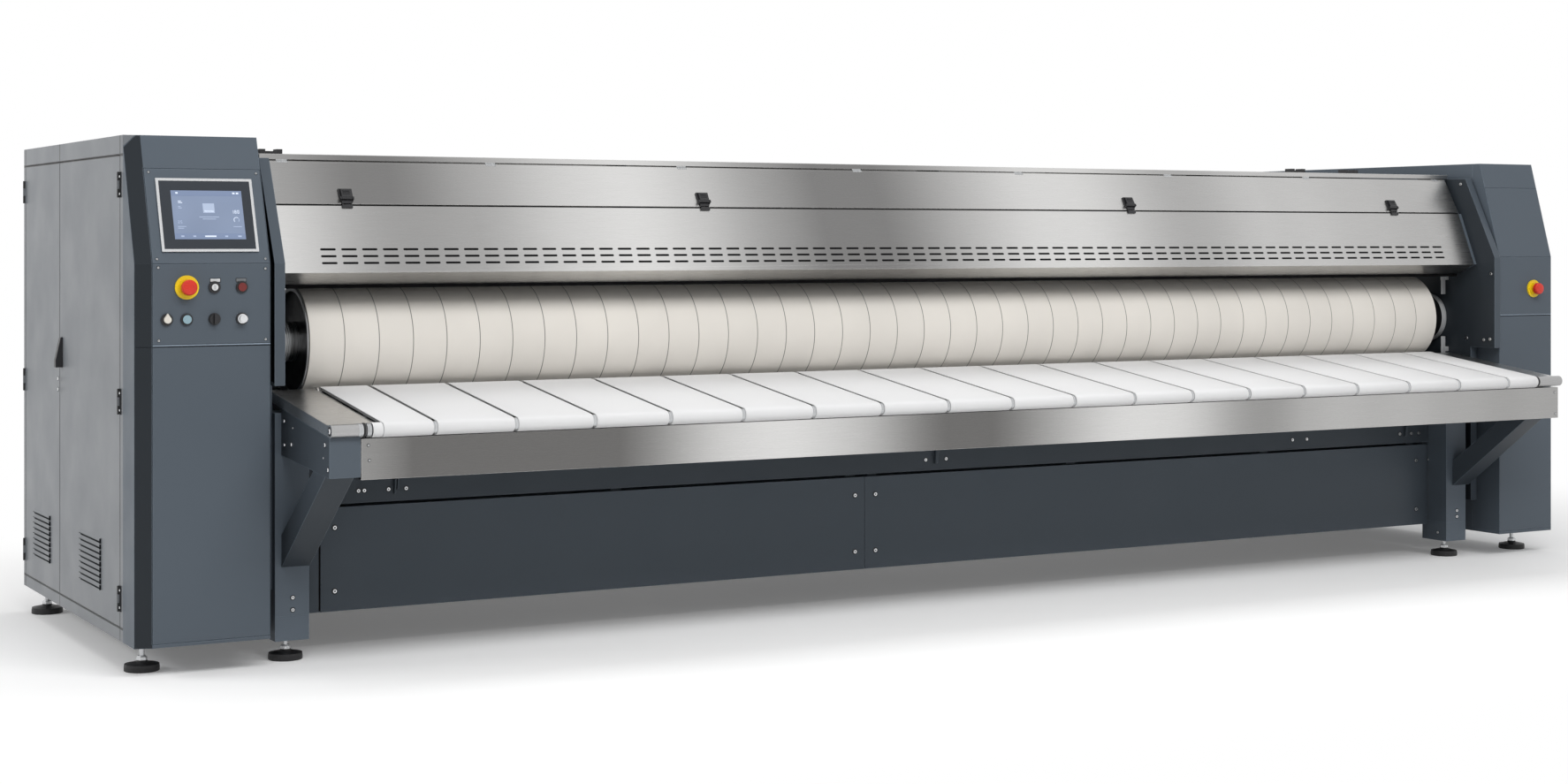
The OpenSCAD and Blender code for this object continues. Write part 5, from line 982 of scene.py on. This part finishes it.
# --- Front beam and skirts ---
# A square steel tube across the front with small welded ribs. Long painted sheet skirts are screwed on
# under it.
BEAM_Y = -0.4235
ribs = bmesh.new()
for x, half, low in ((-2.297, 0.0025, 0.545), (-2.2865, 0.0025, 0.560), (0.0, 0.006, 0.545),
                     (2.5575, 0.004, 0.55)):
    outline = [(0.0, low), (0.012, low + 0.004), (0.022, 0.64), (0.036, 0.690), (0.036, 0.698), (0.0, 0.698)]
    bar_along(ribs, outline, x - half, x + half, lambda x, out, up: (x, BEAM_Y - out, up))
shape_to_piece("beam_ribs", ribs, "frame", "dark_paint", beam_shaded_paint)
# Black strips behind the joints between the skirts paint the shade in the gaps
gap_shades = bmesh.new()
for x in (-2.570, -0.335):
    slab(gap_shades, (x - 0.004, -0.4212, 0.148), (x + 0.004, -0.4150, 0.505), 0.0004)
shape_to_piece("skirt_gap_shades", gap_shades, "frame", "black_rubber", seal_and_shade_black)
screws("beam_screws", [(x, BEAM_Y, 0.563) for x in (
    -2.430, -2.4085, -2.3185, -2.2526, -0.047, 0.051, 1.886, 1.969, 2.527, 2.598, 2.645)], 0.0075)
screws("skirt_screws", [(x, BEAM_Y, z) for x in (-2.517, -0.380, -0.285, 2.628) for z in (0.438, 0.215)],
       0.0085)
screws("strip_screw", [(2.706, BEAM_Y, 0.439)], 0.006)
screws("leg_screws", [(-2.7047, -0.5355, 0.221), (-2.7047, -0.5355, 0.179), (2.770, -0.5355, 0.2115),
                      (2.770, -0.5355, 0.184)], 0.007)
screws("shoe_screw", [(2.705, -0.483, 0.110)], 0.006, FACING_LEFT)
screws("cheek_screws", [(2.893, y, z) for y, z in (
    (-0.4395, 1.7064), (-0.626, 1.2936), (-0.4774, 0.9962), (-0.5825, 0.9907), (-0.620, 0.995))],
       0.0075, FACING_LEFT)

# --- Feet ---
# Round moulded rubber pads under threaded steel spindles. A plated nut locks each spindle, so that the
# machine stays level.
rubber = moulded("black_rubber", (0.011, 0.011, 0.012), 0.5, 0.3)
dress(rubber, "foot_pads")
FOOT_PLACES = ((-3.196, -0.4375), (3.222, -0.4375), (-3.196, 0.9825), (3.222, 0.9825), (-2.7067, -0.4605),
               (2.765, -0.4605), (-2.7067, 0.9375), (2.765, 0.9375))
nut_steel = Surface("plated_nut", Metallic=0.7)
nut_steel.tint((0.62, 0.63, 0.64), (0.8, 0.81, 0.82), 120.0)
nut_steel.gloss(0.25, 0.4, 200.0)

# A blunt cone stands on each place: the pad's rim, dome and neck, then the nut and its collar
cone_tree = ShapeTree("blunt_cone", Places="Geometry", Sides="Int", Low="Float", Top="Float", Height="Float",
                      Skin="Material")
size = cone_tree.inputs
cone = cone_tree.add("MeshCone", Vertices=size["Sides"], Radius_Bottom=size["Low"],
                     Radius_Top=size["Top"], Depth=size["Height"])
cone_tree.finish(cone_tree.skin(cone_tree.repeat(cone.outputs["Mesh"], size["Places"]), size["Skin"]))
for name, z, sides, low, top, height, skin, slot in (
        ("pad_rims", 0.0130, 48, 0.0588, 0.0575, 0.0105, rubber, "black_rubber"),
        ("pad_domes", 0.0230, 48, 0.0560, 0.0300, 0.0065, rubber, "black_rubber"),
        ("pad_necks", 0.0280, 24, 0.0200, 0.0175, 0.0080, rubber, "black_rubber"),
        ("foot_nuts", 0.0362, 6, 0.0190, 0.0185, 0.0100, nut_steel, "machined_steel"),
        ("nut_collars", 0.0466, 24, 0.0155, 0.0140, 0.0040, nut_steel, "machined_steel")):
    cone_tree.make(name, [(x, y, z) for x, y in FOOT_PLACES], "frame", slot, Sides=sides, Low=low, Top=top,
                   Height=height, Skin=skin.owner)

# --- Chest and machinery ---
# The heated steel trough in its insulated jacket of galvanised sheet, and the rods that heat it. The drives
# have cast cases in gloss paint.
zinc = Surface("galvanised_sheet", Metallic=1.0)
spangle = zinc.add("TexVoronoi", Vector=zinc.coordinates, Scale=90.0)
zinc.paint(zinc.between(spangle.outputs["Distance"], (0.42, 0.43, 0.44), (0.56, 0.57, 0.58)))
zinc.gloss(0.38, 0.5, 40.0)
dress(zinc, "mounting_plate", "chest_jacket", "exhaust_spigot")
# The bed under the belts is painted dark, as painted shade in the gaps between the belts
bed_shade_steel = Surface("dull_bed_sheet", Metallic=0.6)
bed_shade_steel.tint((0.10, 0.105, 0.11), (0.14, 0.145, 0.15), 6.0, 3.0)
bed_shade_steel.gloss(0.45, 0.6, 60.0)
dress(bed_shade_steel, "feed_bed")
heater = Surface("heater_tube", Metallic=0.8)
heater.tint((0.16, 0.13, 0.11), (0.3, 0.24, 0.19), 9.0, 3.0)
heater.gloss(0.4, 0.6, 60.0)
dress(heater, "heating_rods")
dress(moulded("blue_grey_gloss_paint", (0.07, 0.10, 0.14)), "gearmotors")

# --- Switchgear ---
# Contactors, relays and terminal blocks moulded in grey plastic. They clip on steel rails behind the left
# cabinet's doors.
dress(moulded("grey_plastic", (0.28, 0.29, 0.30), 0.45), "switchgear")
